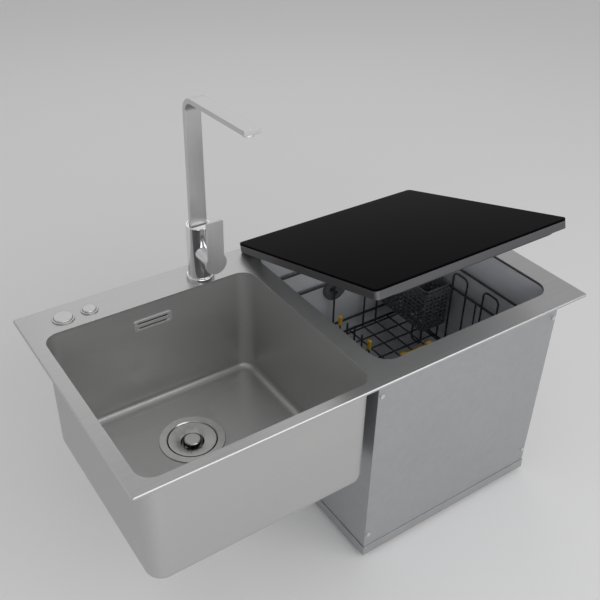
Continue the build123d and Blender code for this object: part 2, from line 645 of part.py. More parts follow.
def button_outline(radius):
    """The button's section: a flat cap with a softened rim on its stem."""
    return [
        (0, BUTTON_PROUD),
        (radius - 0.8, BUTTON_PROUD),
        (radius, BUTTON_PROUD - 0.8),
        (radius, BUTTON_PROUD - BUTTON_THICKNESS),
        (BUTTON_STEM_RADIUS, BUTTON_PROUD - BUTTON_THICKNESS),
        (BUTTON_STEM_RADIUS, 10 - BUTTON_BUSH_DEPTH),
        (0, 10 - BUTTON_BUSH_DEPTH),
    ]


with BuildPart() as button_bushes:
    drain_bush = bush_outline(DRAIN_BUTTON_RADIUS, DRAIN_BUTTON_TRAVEL)
    revolve(
        turned_face(drain_bush, DRAIN_BUTTON_X, BUTTON_Y, PLATE_TOP),
        axis=upright(DRAIN_BUTTON_X, BUTTON_Y),
    )
    air_bush = bush_outline(AIR_BUTTON_RADIUS, AIR_BUTTON_TRAVEL)
    revolve(
        turned_face(air_bush, AIR_BUTTON_X, BUTTON_Y, PLATE_TOP),
        axis=upright(AIR_BUTTON_X, BUTTON_Y),
    )

with BuildPart() as drain_button:
    revolve(
        turned_face(button_outline(DRAIN_BUTTON_RADIUS), DRAIN_BUTTON_X, BUTTON_Y, PLATE_TOP),
        axis=upright(DRAIN_BUTTON_X, BUTTON_Y),
    )

with BuildPart() as air_button:
    revolve(
        turned_face(button_outline(AIR_BUTTON_RADIUS), AIR_BUTTON_X, BUTTON_Y, PLATE_TOP),
        axis=upright(AIR_BUTTON_X, BUTTON_Y),
    )

# Cable from the drain button's bush, down behind the bowl and under it to the drain body
CABLE_TOP = PLATE_TOP - BUTTON_BUSH_DEPTH
CABLE_Z = BOWL_FLOOR - CABLE_DROP
with BuildPart() as drain_cable:
    wire_upright(
        DRAIN_BUTTON_X, BUTTON_Y, CABLE_TOP - CABLE_FERRULE_LENGTH, CABLE_TOP, CABLE_FERRULE_RADIUS
    )
    to_drain = (Vector(DRAIN_X, DRAIN_Y, 0) - Vector(DRAIN_BUTTON_X, BUTTON_Y, 0)).normalized()
    cable_end = Vector(DRAIN_X, DRAIN_Y, CABLE_Z) - to_drain * (DRAIN_BODY_RADIUS + SEAT_GAP)
    with BuildLine() as cable_route:
        FilletPolyline(
            (DRAIN_BUTTON_X, BUTTON_Y, CABLE_TOP - CABLE_FERRULE_LENGTH / 2),
            (DRAIN_BUTTON_X, BUTTON_Y, CABLE_Z),
            cable_end,
            radius=CABLE_BEND,
        )
    with BuildSketch(Plane(cable_route.wires()[0] @ 0, z_dir=(0, 0, -1))):
        Circle(CABLE_RADIUS)
    sweep(path=cable_route.wires()[0])

# Tap: base ring, body with its side boss, shank and nut under the plate
with BuildPart() as tap_base_ring:
    with BuildSketch(Plane.XY.offset(PLATE_TOP)):
        with Locations((TAP_X, TAP_Y)):
            Circle(TAP_RING_RADIUS)
            Circle(TAP_BODY_RADIUS + FIT_GAP, mode=Mode.SUBTRACT)
    extrude(amount=TAP_RING_HEIGHT)
    fillet(tap_base_ring.edges().group_by(Axis.Z)[-1].sort_by(SortBy.RADIUS)[-1], 2.0)


def boss_level(distance):
    """The upright plane square to the tap's boss, at a distance in front of the tap's axis."""
    return Plane.XZ.offset(distance - TAP_Y)


with BuildPart() as tap_body:
    with BuildSketch(Plane.XY.offset(PLATE_TOP)):
        with Locations((TAP_X, TAP_Y)):
            Circle(TAP_BODY_RADIUS)
    extrude(amount=TAP_BODY_HEIGHT)
    chamfer(tap_body.edges().group_by(Axis.Z)[-1], 0.8)
    with BuildSketch(boss_level(0)):
        with Locations((TAP_X, BOSS_Z)):
            Circle(BOSS_RADIUS)
    extrude(amount=BOSS_REACH)
    fillet(tap_body.edges().filter_by(GeomType.CIRCLE).sort_by(Axis.Y)[0], BOSS_ROUND)
    with BuildSketch(boss_level(CARTRIDGE_START)):
        with Locations((TAP_X, BOSS_Z)):
            Circle(BOSS_BORE)
    extrude(amount=BOSS_REACH, mode=Mode.SUBTRACT)
    with BuildSketch(Plane.XY.offset(COLLAR_FLOOR)):
        with Locations((TAP_X, TAP_Y)):
            Circle(COLLAR_RADIUS + SEAT_GAP)
    extrude(amount=TAP_BODY_HEIGHT, mode=Mode.SUBTRACT)
    with BuildSketch(Plane.XY.offset(COLLAR_FLOOR)):
        with Locations((TAP_X, TAP_Y)):
            Circle(COLLAR_STEM_RADIUS + TURN_GAP)
    extrude(amount=-(COLLAR_STEM_LENGTH + 1), mode=Mode.SUBTRACT)
    with BuildSketch(Plane.XY.offset(PLATE_TOP)):
        with Locations((TAP_X, TAP_Y)):
            Circle(TAP_BORE)
    extrude(amount=TAP_BODY_HEIGHT, mode=Mode.SUBTRACT)

with BuildPart() as tap_shank:
    with BuildSketch(Plane.XY.offset(PLATE_TOP)):
        with Locations((TAP_X, TAP_Y)):
            Circle(TAP_SHANK_RADIUS)
            Circle(TAP_BORE, mode=Mode.SUBTRACT)
    extrude(amount=-TAP_SHANK_LENGTH)

with BuildPart() as tap_nut:
    with BuildSketch(Plane.XY.offset(PLATE_UNDER)):
        with Locations((TAP_X, TAP_Y)):
            RegularPolygon(TAP_NUT_RADIUS, 6)
            Circle(TAP_SHANK_RADIUS, mode=Mode.SUBTRACT)
    extrude(amount=-TAP_NUT_THICKNESS)

# Mixing cartridge in the boss, its turning spindle and the lever that tilts on the spindle
with BuildPart() as tap_cartridge:
    with BuildSketch(boss_level(CARTRIDGE_START)):
        with Locations((TAP_X, BOSS_Z)):
            Circle(BOSS_BORE - FIT_GAP)
    extrude(amount=CARTRIDGE_END - CARTRIDGE_START)
    with BuildSketch(boss_level(CARTRIDGE_END)):
        with Locations((TAP_X, BOSS_Z)):
            Circle(SPINDLE_SHAFT_RADIUS + TURN_GAP)
    extrude(amount=-SPINDLE_SHAFT_LENGTH - 1, mode=Mode.SUBTRACT)

SPINDLE_START = CARTRIDGE_END + SEAT_GAP
EAR_START = SPINDLE_START + SPINDLE_DISC
EAR_X = LEVER_TONGUE / 2 + SEAT_GAP + SPINDLE_EAR / 2
with BuildPart() as cartridge_spindle:
    with BuildSketch(boss_level(SPINDLE_START)):
        with Locations((TAP_X, BOSS_Z)):
            Circle(SPINDLE_SHAFT_RADIUS)
    extrude(amount=-SPINDLE_SHAFT_LENGTH)
    with BuildSketch(boss_level(SPINDLE_START)):
        with Locations((TAP_X, BOSS_Z)):
            Circle(SPINDLE_RADIUS)
    extrude(amount=SPINDLE_DISC)
    with BuildSketch(boss_level(EAR_START)):
        with Locations((TAP_X - EAR_X, BOSS_Z), (TAP_X + EAR_X, BOSS_Z)):
            Rectangle(SPINDLE_EAR, 8)
    extrude(amount=LEVER_PIVOT + 3 - EAR_START)
    wire_along_x(TAP_X, TAP_Y - LEVER_PIVOT, BOSS_Z, 2 * EAR_X, LEVER_PIN_RADIUS)

LEVER_BACK = LEVER_REACH - LEVER_THICKNESS
HUB_START = LEVER_PIVOT + 6.0
with BuildPart() as tap_lever:
    with BuildSketch(boss_level(LEVER_BACK)):
        with Locations((TAP_X, BOSS_Z)):
            Circle(LEVER_DISC_RADIUS)
        with Locations((TAP_X, BOSS_Z + LEVER_RISE / 2)):
            Rectangle(LEVER_WIDTH, LEVER_RISE)
    extrude(amount=LEVER_THICKNESS)
    fillet(tap_lever.edges().filter_by(Axis.Y).group_by(Axis.Z)[-1], 3.0)
    with BuildSketch(boss_level(HUB_START)):
        with Locations((TAP_X, BOSS_Z)):
            Circle(LEVER_HUB_RADIUS)
    extrude(amount=LEVER_BACK - HUB_START)
    with BuildSketch(boss_level(LEVER_PIVOT - 2)):
        with Locations((TAP_X, BOSS_Z)):
            Rectangle(LEVER_TONGUE, 5)
    extrude(amount=HUB_START - LEVER_PIVOT + 3)
    with Locations(Location((TAP_X, TAP_Y - LEVER_PIVOT, BOSS_Z), (0, 90, 0))):
        Cylinder(LEVER_PIN_RADIUS + TURN_GAP, 2 * LEVER_TONGUE, mode=Mode.SUBTRACT)

# Spout: a collar that turns in the body's top, a flat hollow bar bent over the bowl so that it rises
# a little towards its tip, and its aerator
with BuildPart() as spout_collar:
    with BuildSketch(Plane.XY.offset(COLLAR_FLOOR + SEAT_GAP)):
        with Locations((TAP_X, TAP_Y)):
            Circle(COLLAR_RADIUS)
    extrude(amount=COLLAR_HEIGHT)
    with BuildSketch(Plane.XY.offset(COLLAR_FLOOR + SEAT_GAP)):
        with Locations((TAP_X, TAP_Y)):
            Circle(COLLAR_STEM_RADIUS)
    extrude(amount=-COLLAR_STEM_LENGTH)
    with BuildSketch(Plane.XY.offset(COLLAR_TOP)):
        with Locations((TAP_X, TAP_Y + (SPOUT_THICKNESS / 2 - COLLAR_SLOT_FRONT) / 2)):
            Rectangle(SPOUT_FOOT_WIDTH, SPOUT_THICKNESS / 2 + COLLAR_SLOT_FRONT)
    extrude(amount=-COLLAR_SLOT_DEPTH, mode=Mode.SUBTRACT)
    with Locations((TAP_X, TAP_Y, SPOUT_FOOT)):
        Cylinder(SPOUT_THICKNESS / 2 - SPOUT_WALL, 3 * COLLAR_STEM_LENGTH, mode=Mode.SUBTRACT)

with BuildPart() as tap_spout:
    with BuildLine() as spout_route:
        FilletPolyline(
            (TAP_X, TAP_Y, SPOUT_FOOT),
            (TAP_X, TAP_Y, SPOUT_CORNER),
            (TAP_X, SPOUT_TIP, SPOUT_CENTRE_TOP),
            radius=SPOUT_BEND,
        )
    with BuildSketch(Plane.XY.offset(SPOUT_FOOT)):
        with Locations((TAP_X, TAP_Y)):
            Rectangle(SPOUT_FOOT_WIDTH, SPOUT_THICKNESS)
    sweep(path=spout_route.wires()[0])
    with BuildSketch(boss_level(0)):
        with BuildLine():
            Polyline(
                (TAP_X - SPOUT_FOOT_WIDTH / 2, SPOUT_FOOT),
                (TAP_X + SPOUT_FOOT_WIDTH / 2, SPOUT_FOOT),
                (TAP_X + SPOUT_WIDTH / 2, SPOUT_CENTRE_TOP - SPOUT_TAPER_TOP),
                (TAP_X + SPOUT_WIDTH / 2, SPOUT_CENTRE_TOP + SPOUT_THICKNESS),
                (TAP_X - SPOUT_WIDTH / 2, SPOUT_CENTRE_TOP + SPOUT_THICKNESS),
                (TAP_X - SPOUT_WIDTH / 2, SPOUT_CENTRE_TOP - SPOUT_TAPER_TOP),
                close=True,
            )
        make_face()
    extrude(amount=2 * SPOUT_REACH, both=True, mode=Mode.INTERSECT)
    with BuildLine() as water_route:
        FilletPolyline(
            (TAP_X, TAP_Y, SPOUT_FOOT),
            (TAP_X, TAP_Y, SPOUT_CORNER),
            (
                TAP_X,
                SPOUT_TIP + SPOUT_WALL,
                SPOUT_CENTRE_TOP - SPOUT_WALL * tan(radians(SPOUT_TILT)),
            ),
            radius=SPOUT_BEND,
        )
    with BuildSketch(Plane.XY.offset(SPOUT_FOOT)):
        with Locations((TAP_X, TAP_Y)):
            Rectangle(SPOUT_WIDTH - 2 * SPOUT_WALL, SPOUT_THICKNESS - 2 * SPOUT_WALL)
    sweep(path=water_route.wires()[0], mode=Mode.SUBTRACT)
    with Locations(SPOUT_MOUTH.location * Location((0, AERATOR_INSET, -SPOUT_THICKNESS / 2))):
        Cylinder(AERATOR_RADIUS - 2 * SPOUT_WALL, 2 * SPOUT_WALL + 1, mode=Mode.SUBTRACT)

with BuildPart() as tap_aerator:
    with BuildSketch(SPOUT_MOUTH.offset(-SPOUT_THICKNESS / 2)):
        with Locations((0, AERATOR_INSET)):
            Circle(AERATOR_RADIUS)
            Circle(AERATOR_RADIUS - 2 * SPOUT_WALL, mode=Mode.SUBTRACT)
    extrude(amount=-AERATOR_HEIGHT)

# Lid: glass on a metal frame, an inner pan and a soft seal
with BuildPart() as lid_frame:
    with BuildSketch(lid_level(LID_UNDER)):
        with Locations((0, LID_MID_Y)):
            RectangleRounded(LID_LENGTH, LID_WIDTH, LID_CORNER)
        with Locations((0, LID_MID_Y + (LID_RAIL - LID_REAR_RAIL) / 2)):
            Rectangle(
                LID_LENGTH - 2 * LID_RAIL,
                LID_WIDTH - LID_RAIL - LID_REAR_RAIL,
                mode=Mode.SUBTRACT,
            )
    extrude(amount=LID_FRAME_HEIGHT)
    for side in (-1, 1):
        notch_y = (LID_BEHIND_AXIS - HINGE_NOTCH) / 2
        with Locations(LID_PLANE.location * Location((side * HINGE_SPACING / 2, notch_y, 0))):
            Box(
                HINGE_LENGTH + 2 * HINGE_SIDE_GAP,
                LID_BEHIND_AXIS + HINGE_NOTCH,
                4 * LID_FRAME_HEIGHT,
                mode=Mode.SUBTRACT,
            )
        with Locations(LID_PLANE.location * Location((side * HINGE_SPACING / 2, 0, 0), (0, 90, 0))):
            Cylinder(HINGE_PIN_RADIUS, HINGE_PIN_LENGTH, mode=Mode.SUBTRACT)

with BuildPart() as lid_glass:
    with BuildSketch(lid_level(LID_UNDER + LID_FRAME_HEIGHT)):
        with Locations((0, LID_MID_Y)):
            RectangleRounded(LID_LENGTH, LID_WIDTH, LID_CORNER)
    extrude(amount=LID_GLASS)

with BuildPart() as lid_inner_pan:
    with BuildSketch(lid_level(LID_UNDER)):
        with Locations((0, LID_MID_Y + (LID_RAIL - LID_REAR_RAIL) / 2)):
            Rectangle(LID_LENGTH - 2 * LID_RAIL, LID_WIDTH - LID_RAIL - LID_REAR_RAIL)
    extrude(amount=LID_PAN)

LID_SEAL_OUTER = LID_SEAL_OUTSET + LID_SEAL_WIDTH
with BuildPart() as lid_seal:
    with BuildSketch(lid_level(LID_UNDER)):
        with Locations((0, TUB_Y - HINGE_Y)):
            RectangleRounded(
                TUB_LENGTH + 2 * LID_SEAL_OUTER,
                TUB_WIDTH + 2 * LID_SEAL_OUTER,
                TUB_CORNER + LID_SEAL_OUTER,
            )
            RectangleRounded(
                TUB_LENGTH + 2 * LID_SEAL_OUTSET,
                TUB_WIDTH + 2 * LID_SEAL_OUTSET,
                TUB_CORNER + LID_SEAL_OUTSET,
                mode=Mode.SUBTRACT,
            )
    extrude(amount=-LID_SEAL_HEIGHT)

with BuildPart() as hinge_brackets:
    for side in (-1, 1):
        with Locations((TUB_X + side * HINGE_SPACING / 2, HINGE_Y, PLATE_TOP + HINGE_RISE / 2)):
            Box(HINGE_LENGTH, HINGE_STEM, HINGE_RISE)
        wire_along_x(TUB_X + side * HINGE_SPACING / 2, HINGE_Y, HINGE_Z, HINGE_LENGTH, HINGE_KNUCKLE)
        with Locations(Location((TUB_X + side * HINGE_SPACING / 2, HINGE_Y, HINGE_Z), (0, 90, 0))):
            Cylinder(HINGE_PIN_RADIUS + TURN_GAP, 2 * HINGE_LENGTH, mode=Mode.SUBTRACT)

with BuildPart() as hinge_pins:
    for side in (-1, 1):
        wire_along_x(
            TUB_X + side * HINGE_SPACING / 2, HINGE_Y, HINGE_Z, HINGE_PIN_LENGTH, HINGE_PIN_RADIUS
        )


# Tub under the opening, with a soft seal between its flange and the plate
def tub_space(sheet):
    """The space inside the tub, grown by a sheet's thickness on the walls and the floor."""
    with BuildPart() as space:
        with BuildSketch(Plane.XY.offset(TUB_TOP)):
            with Locations((TUB_X, TUB_Y)):
                RectangleRounded(
                    TUB_INNER_LENGTH + 2 * sheet,
                    TUB_INNER_WIDTH + 2 * sheet,
                    TUB_CORNER + TUB_STEP + sheet,
                )
        extrude(amount=-(TUB_TOP - TUB_FLOOR + sheet))
        fillet(space.faces().sort_by(Axis.Z)[0].edges(), TUB_FOLD + sheet)
    return space.part


INLET_RISER_Y = BACK_FACE - CASING_SHEET - VALVE_BODY + 6.0
INLET_RISER_RADIUS = 5.0
VENT_NECK = VENT_RADIUS - 8.0
VENT_Z = PLATE_TOP - VENT_DROP
tub_outside = tub_space(TUB_SHEET)
tub_inside = tub_space(0.0)
with BuildPart() as tub:
    with BuildSketch(Plane.XY.offset(TUB_TOP)):
        with Locations((TUB_X, TUB_Y)):
            RectangleRounded(
                TUB_INNER_LENGTH + 2 * TUB_FLANGE,
                TUB_INNER_WIDTH + 2 * TUB_FLANGE,
                TUB_CORNER + TUB_STEP + TUB_FLANGE,
            )
    extrude(amount=-TUB_SHEET)
    add(tub_outside)
    add(tub_inside, mode=Mode.SUBTRACT)
    with BuildSketch(Plane.XY.offset(TUB_FLOOR)):
        with Locations((SUMP_X, SUMP_Y)):
            Circle(SUMP_RADIUS - SUMP_WALL)
        with Locations((TUB_X, TUB_Y)):
            Circle(POST_SHOULDER + FIT_GAP)
        with Locations((INLET_X, INLET_RISER_Y)):
            Circle(INLET_RISER_RADIUS - 1.5)
    extrude(amount=-2 * TUB_SHEET, mode=Mode.SUBTRACT)
    with BuildSketch(Plane.XZ.offset(-TUB_BACK)):
        with Locations((TUB_X, VENT_Z)):
            Circle(VENT_NECK + FIT_GAP)
    extrude(amount=-3 * TUB_SHEET, mode=Mode.SUBTRACT)

with BuildPart() as tub_seal:
    with BuildSketch(Plane.XY.offset(TUB_TOP)):
        with Locations((TUB_X, TUB_Y)):
            RectangleRounded(
                TUB_INNER_LENGTH + 2 * TUB_FLANGE,
                TUB_INNER_WIDTH + 2 * TUB_FLANGE,
                TUB_CORNER + TUB_STEP + TUB_FLANGE,
            )
            RectangleRounded(TUB_LENGTH + 1, TUB_WIDTH + 1, TUB_CORNER, mode=Mode.SUBTRACT)
    extrude(amount=TUB_SEAL)

# Casing: base pan on four feet, two sides with folded front edges, back panel and service cover
with BuildPart() as base_pan:
    with BuildSketch(Plane.XY.offset(FOOT_HEIGHT)):
        with Locations((TUB_X, TUB_Y)):
            Rectangle(CASING_LENGTH, CASING_WIDTH)
    extrude(amount=BASE_WALL)
    with BuildSketch(Plane.XY.offset(BASE_TOP)):
        with Locations((TUB_X, TUB_Y)):
            Rectangle(CASING_LENGTH - 2 * BASE_SHEET, CASING_WIDTH - 2 * BASE_SHEET)
    extrude(amount=BASE_WALL, mode=Mode.SUBTRACT)

with BuildPart() as feet:
    with BuildSketch():
        with Locations((TUB_X, TUB_Y)):
            with GridLocations(CASING_LENGTH - 2 * FOOT_INSET, CASING_WIDTH - 2 * FOOT_INSET, 2, 2):
                Circle(FOOT_RADIUS)
    extrude(amount=FOOT_HEIGHT)

SCREW_X = PANEL_LENGTH / 2 - CASING_SHEET - CASING_RETURN / 2
SCREW_LEVELS = (BASE_TOP + 50, PLATE_UNDER - 50)
SCREW_PLACES = [(TUB_X + side * SCREW_X, level) for side in (-1, 1) for level in SCREW_LEVELS]
with BuildPart() as side_panels:
    for side in (-1, 1):
        with BuildSketch(Plane.XY.offset(BASE_TOP)):
            with Locations((TUB_X + side * (PANEL_LENGTH - CASING_SHEET) / 2, TUB_Y)):
                Rectangle(CASING_SHEET, PANEL_WIDTH - 2 * CASING_SHEET)
            with Locations(
                (
                    TUB_X + side * (PANEL_LENGTH - CASING_RETURN) / 2,
                    FRONT_FACE + 1.5 * CASING_SHEET,
                )
            ):
                Rectangle(CASING_RETURN, CASING_SHEET)
        extrude(amount=PANEL_HEIGHT)
    with BuildSketch(Plane.XZ.offset(-FRONT_FACE)):
        with Locations(*SCREW_PLACES):
            Circle(SCREW_RADIUS)
    extrude(amount=-3 * CASING_SHEET, mode=Mode.SUBTRACT)

with BuildPart() as service_cover:
    with BuildSketch(Plane.XZ.offset(-FRONT_FACE)):
        with Locations((TUB_X, BASE_TOP + PANEL_HEIGHT / 2)):
            Rectangle(PANEL_LENGTH, PANEL_HEIGHT)
        with Locations(*SCREW_PLACES):
            Circle(SCREW_RADIUS + FIT_GAP, mode=Mode.SUBTRACT)
    extrude(amount=-CASING_SHEET)

with BuildPart() as cover_screws:
    with BuildSketch(Plane.XZ.offset(-FRONT_FACE)):
        with Locations(*SCREW_PLACES):
            Circle(SCREW_HEAD_RADIUS)
    extrude(amount=SCREW_HEAD_HEIGHT)
    with BuildSketch(Plane.XZ.offset(-FRONT_FACE)):
        with Locations(*SCREW_PLACES):
            Circle(SCREW_RADIUS)
    extrude(amount=-SCREW_LENGTH)

GLAND_X = INLET_X + 70.0
GLAND_RADIUS = 7.0
with BuildPart() as back_panel:
    with BuildSketch(Plane.XZ.offset(-BACK_FACE)):
        with Locations((TUB_X, BASE_TOP + PANEL_HEIGHT / 2)):
            Rectangle(PANEL_LENGTH, PANEL_HEIGHT)
        with Locations((INLET_X, INLET_Z)):
            Circle(INLET_NECK_RADIUS + SEAT_GAP, mode=Mode.SUBTRACT)
        with Locations((GLAND_X, INLET_Z)):
            Circle(GLAND_RADIUS + FIT_GAP, mode=Mode.SUBTRACT)
        with Locations((OUTLET_X, DRAIN_PUMP_Z)):
            Circle(PIPE_RADIUS + SEAT_GAP, mode=Mode.SUBTRACT)
    extrude(amount=CASING_SHEET)

with BuildPart() as cable_gland:
    with BuildSketch(Plane.XZ.offset(-BACK_FACE)):
        with Locations((GLAND_X, INLET_Z)):
            RegularPolygon(GLAND_RADIUS + 4, 6)
    extrude(amount=-8)
    with BuildSketch(Plane.XZ.offset(-BACK_FACE - 8)):
        with Locations((GLAND_X, INLET_Z)):
            Circle(GLAND_RADIUS + 1)
    extrude(amount=-6)
    with BuildSketch(Plane.XZ.offset(-BACK_FACE)):
        with Locations((GLAND_X, INLET_Z)):
            Circle(GLAND_RADIUS)
    extrude(amount=8)
    with BuildSketch(Plane.XZ.offset(-BACK_FACE - 14)):
        with Locations((GLAND_X, INLET_Z)):
            Circle(GLAND_RADIUS - 3)
    extrude(amount=22, mode=Mode.SUBTRACT)

# Sump with its suction pipe to the wash pump, and the filters over it
PUMP_MIDDLE = (PUMP_TOP + PUMP_BOTTOM) / 2
with BuildPart() as sump:
    to_pump = (Vector(TUB_X, TUB_Y, 0) - Vector(SUMP_X, SUMP_Y, 0)).normalized()
    pump_distance = (Vector(TUB_X, TUB_Y, 0) - Vector(SUMP_X, SUMP_Y, 0)).length
    sump_outline = [
        (0, 0),
        (SUMP_RADIUS, 0),
        (SUMP_RADIUS, SUMP_DEPTH - 3),
        (SUMP_RADIUS + 5, SUMP_DEPTH - 3),
        (SUMP_RADIUS + 5, SUMP_DEPTH),
        (0, SUMP_DEPTH),
    ]
    sump_base = TUB_UNDER - SUMP_DEPTH
    revolve(turned_face(sump_outline, SUMP_X, SUMP_Y, sump_base), axis=upright(SUMP_X, SUMP_Y))
    suction_start = Vector(SUMP_X, SUMP_Y, PUMP_MIDDLE)
    with BuildSketch(Plane(suction_start, z_dir=to_pump)):
        Circle(SUCTION_RADIUS + SUMP_WALL)
    extrude(amount=pump_distance - PUMP_RADIUS - SEAT_GAP)
    with BuildSketch(Plane.XY.offset(sump_base + SUMP_WALL)):
        with Locations((SUMP_X, SUMP_Y)):
            Circle(SUMP_RADIUS - SUMP_WALL)
    extrude(amount=SUMP_DEPTH, mode=Mode.SUBTRACT)
    with BuildSketch(Plane(suction_start, z_dir=to_pump)):
        Circle(SUCTION_RADIUS)
    extrude(amount=pump_distance, mode=Mode.SUBTRACT)
    with BuildSketch(Plane.YZ.offset(SUMP_X)):
        with Locations((SUMP_Y, DRAIN_PUMP_Z)):
            Circle(DRAIN_IMPELLER_RADIUS - 4)
    extrude(amount=2 * SUMP_RADIUS, mode=Mode.SUBTRACT)

with BuildPart() as filter_plate:
    with BuildSketch(Plane.XY.offset(TUB_FLOOR)):
        with Locations((SUMP_X, SUMP_Y)):
            Circle(FILTER_PLATE_RADIUS)
            Circle(FILTER_RADIUS + SEAT_GAP, mode=Mode.SUBTRACT)
            with PolarLocations(FILTER_PLATE_RADIUS - 16, 24):
                Circle(3, mode=Mode.SUBTRACT)
    extrude(amount=FILTER_WALL)

FILTER_SEAT = TUB_FLOOR + FILTER_WALL + SEAT_GAP
with BuildPart() as filter_cup:
    filter_outline = [
        (0, -FILTER_DEPTH),
        (FILTER_RADIUS, -FILTER_DEPTH),
        (FILTER_RADIUS, 0),
        (FILTER_RADIUS + 3, 0),
        (FILTER_RADIUS + 3, 2),
        (FILTER_RADIUS - FILTER_WALL, 2),
        (FILTER_RADIUS - FILTER_WALL, FILTER_WALL - FILTER_DEPTH),
        (0, FILTER_WALL - FILTER_DEPTH),
    ]
    revolve(turned_face(filter_outline, SUMP_X, SUMP_Y, FILTER_SEAT), axis=upright(SUMP_X, SUMP_Y))
    with Locations((SUMP_X, SUMP_Y, FILTER_SEAT - FILTER_DEPTH / 2)):
        with PolarLocations(FILTER_RADIUS, 12):
            Box(8, 9, FILTER_DEPTH - 14, mode=Mode.SUBTRACT)
    with BuildSketch(Plane.XY.offset(FILTER_SEAT)):
        with Locations((SUMP_X, SUMP_Y)):
            Rectangle(2 * FILTER_RADIUS, 6)
    extrude(amount=11)

# Wash pump: housing with the spray arm's post, motor below, impeller inside
POST_TOP = ARM_BOTTOM + ARM_HEIGHT - 2.0
with BuildPart() as pump_housing:
    housing_outline = [
        (SHAFT_RADIUS + 1, PUMP_BOTTOM),
        (PUMP_RADIUS, PUMP_BOTTOM),
        (PUMP_RADIUS, PUMP_TOP),
        (POST_SHOULDER + 8, PUMP_TOP),
        (POST_SHOULDER + 8, TUB_UNDER),
        (POST_SHOULDER, TUB_UNDER),
        (POST_SHOULDER, ARM_BOTTOM - SEAT_GAP),
        (POST_RADIUS, ARM_BOTTOM - SEAT_GAP),
        (POST_RADIUS, POST_TOP),
        (POST_RADIUS - 3, POST_TOP),
        (POST_RADIUS - 3, PUMP_TOP - PUMP_WALL - 3),
        (PUMP_RADIUS - PUMP_WALL, PUMP_TOP - PUMP_WALL - 3),
        (PUMP_RADIUS - PUMP_WALL, PUMP_BOTTOM + PUMP_WALL),
        (SHAFT_RADIUS + 1, PUMP_BOTTOM + PUMP_WALL),
    ]
    revolve(turned_face(housing_outline, TUB_X, TUB_Y, 0), axis=upright(TUB_X, TUB_Y))
    with BuildSketch(Plane((TUB_X, TUB_Y, PUMP_MIDDLE), z_dir=-to_pump)):
        Circle(SUCTION_RADIUS)
    extrude(amount=2 * PUMP_RADIUS, mode=Mode.SUBTRACT)

with BuildPart() as pump_motor:
    with BuildSketch(Plane.XY.offset(PUMP_BOTTOM)):
        with Locations((TUB_X, TUB_Y)):
            Circle(MOTOR_RADIUS)
    extrude(amount=-MOTOR_HEIGHT)
    chamfer(pump_motor.edges().group_by(Axis.Z)[0], 3)
    with BuildSketch(Plane.XY.offset(PUMP_BOTTOM)):
        with Locations((TUB_X, TUB_Y)):
            Circle(SHAFT_RADIUS + TURN_GAP)
    extrude(amount=-MOTOR_HEIGHT / 2, mode=Mode.SUBTRACT)

IMPELLER_Z = PUMP_BOTTOM + PUMP_WALL + 2.0
with BuildPart() as pump_impeller:
    wire_upright(TUB_X, TUB_Y, PUMP_BOTTOM - MOTOR_HEIGHT / 2 + 1, IMPELLER_Z + 18, SHAFT_RADIUS)
    wire_upright(TUB_X, TUB_Y, IMPELLER_Z, IMPELLER_Z + 3, IMPELLER_RADIUS)
    wire_upright(TUB_X, TUB_Y, IMPELLER_Z, IMPELLER_Z + 18, 2 * SHAFT_RADIUS)
    with Locations((TUB_X, TUB_Y, IMPELLER_Z + 9)):
        with PolarLocations(IMPELLER_RADIUS / 2 + 3, 6):
            Box(IMPELLER_RADIUS - 8, 2, 18)

# Spray arm: a bar with rounded tips and upward jets, whose hub turns on the pump's post
with BuildPart() as spray_arm:
    with BuildSketch(Plane.XY.offset(ARM_BOTTOM)):
        with Locations((TUB_X, TUB_Y)):
            Circle(ARM_HUB_RADIUS)
            with GridLocations(2 * ARM_RADIUS - ARM_TIP_WIDTH, 0, 2, 1):
                Circle(ARM_TIP_WIDTH / 2)
        make_hull()
    extrude(amount=ARM_HEIGHT)
    fillet(spray_arm.faces().sort_by(Axis.Z)[-1].edges(), 3)
    with BuildSketch(Plane.XY.offset(ARM_BOTTOM)):
        with Locations((TUB_X, TUB_Y)):
            Circle(POST_RADIUS + TURN_GAP)
    extrude(amount=ARM_HEIGHT - 2.0 + SEAT_GAP, mode=Mode.SUBTRACT)
    with Locations((TUB_X, TUB_Y, ARM_BOTTOM + ARM_HEIGHT)):
        with GridLocations(2 * ARM_RADIUS / 7, 0, 6, 1):
            Cylinder(1.5, 6, mode=Mode.SUBTRACT)

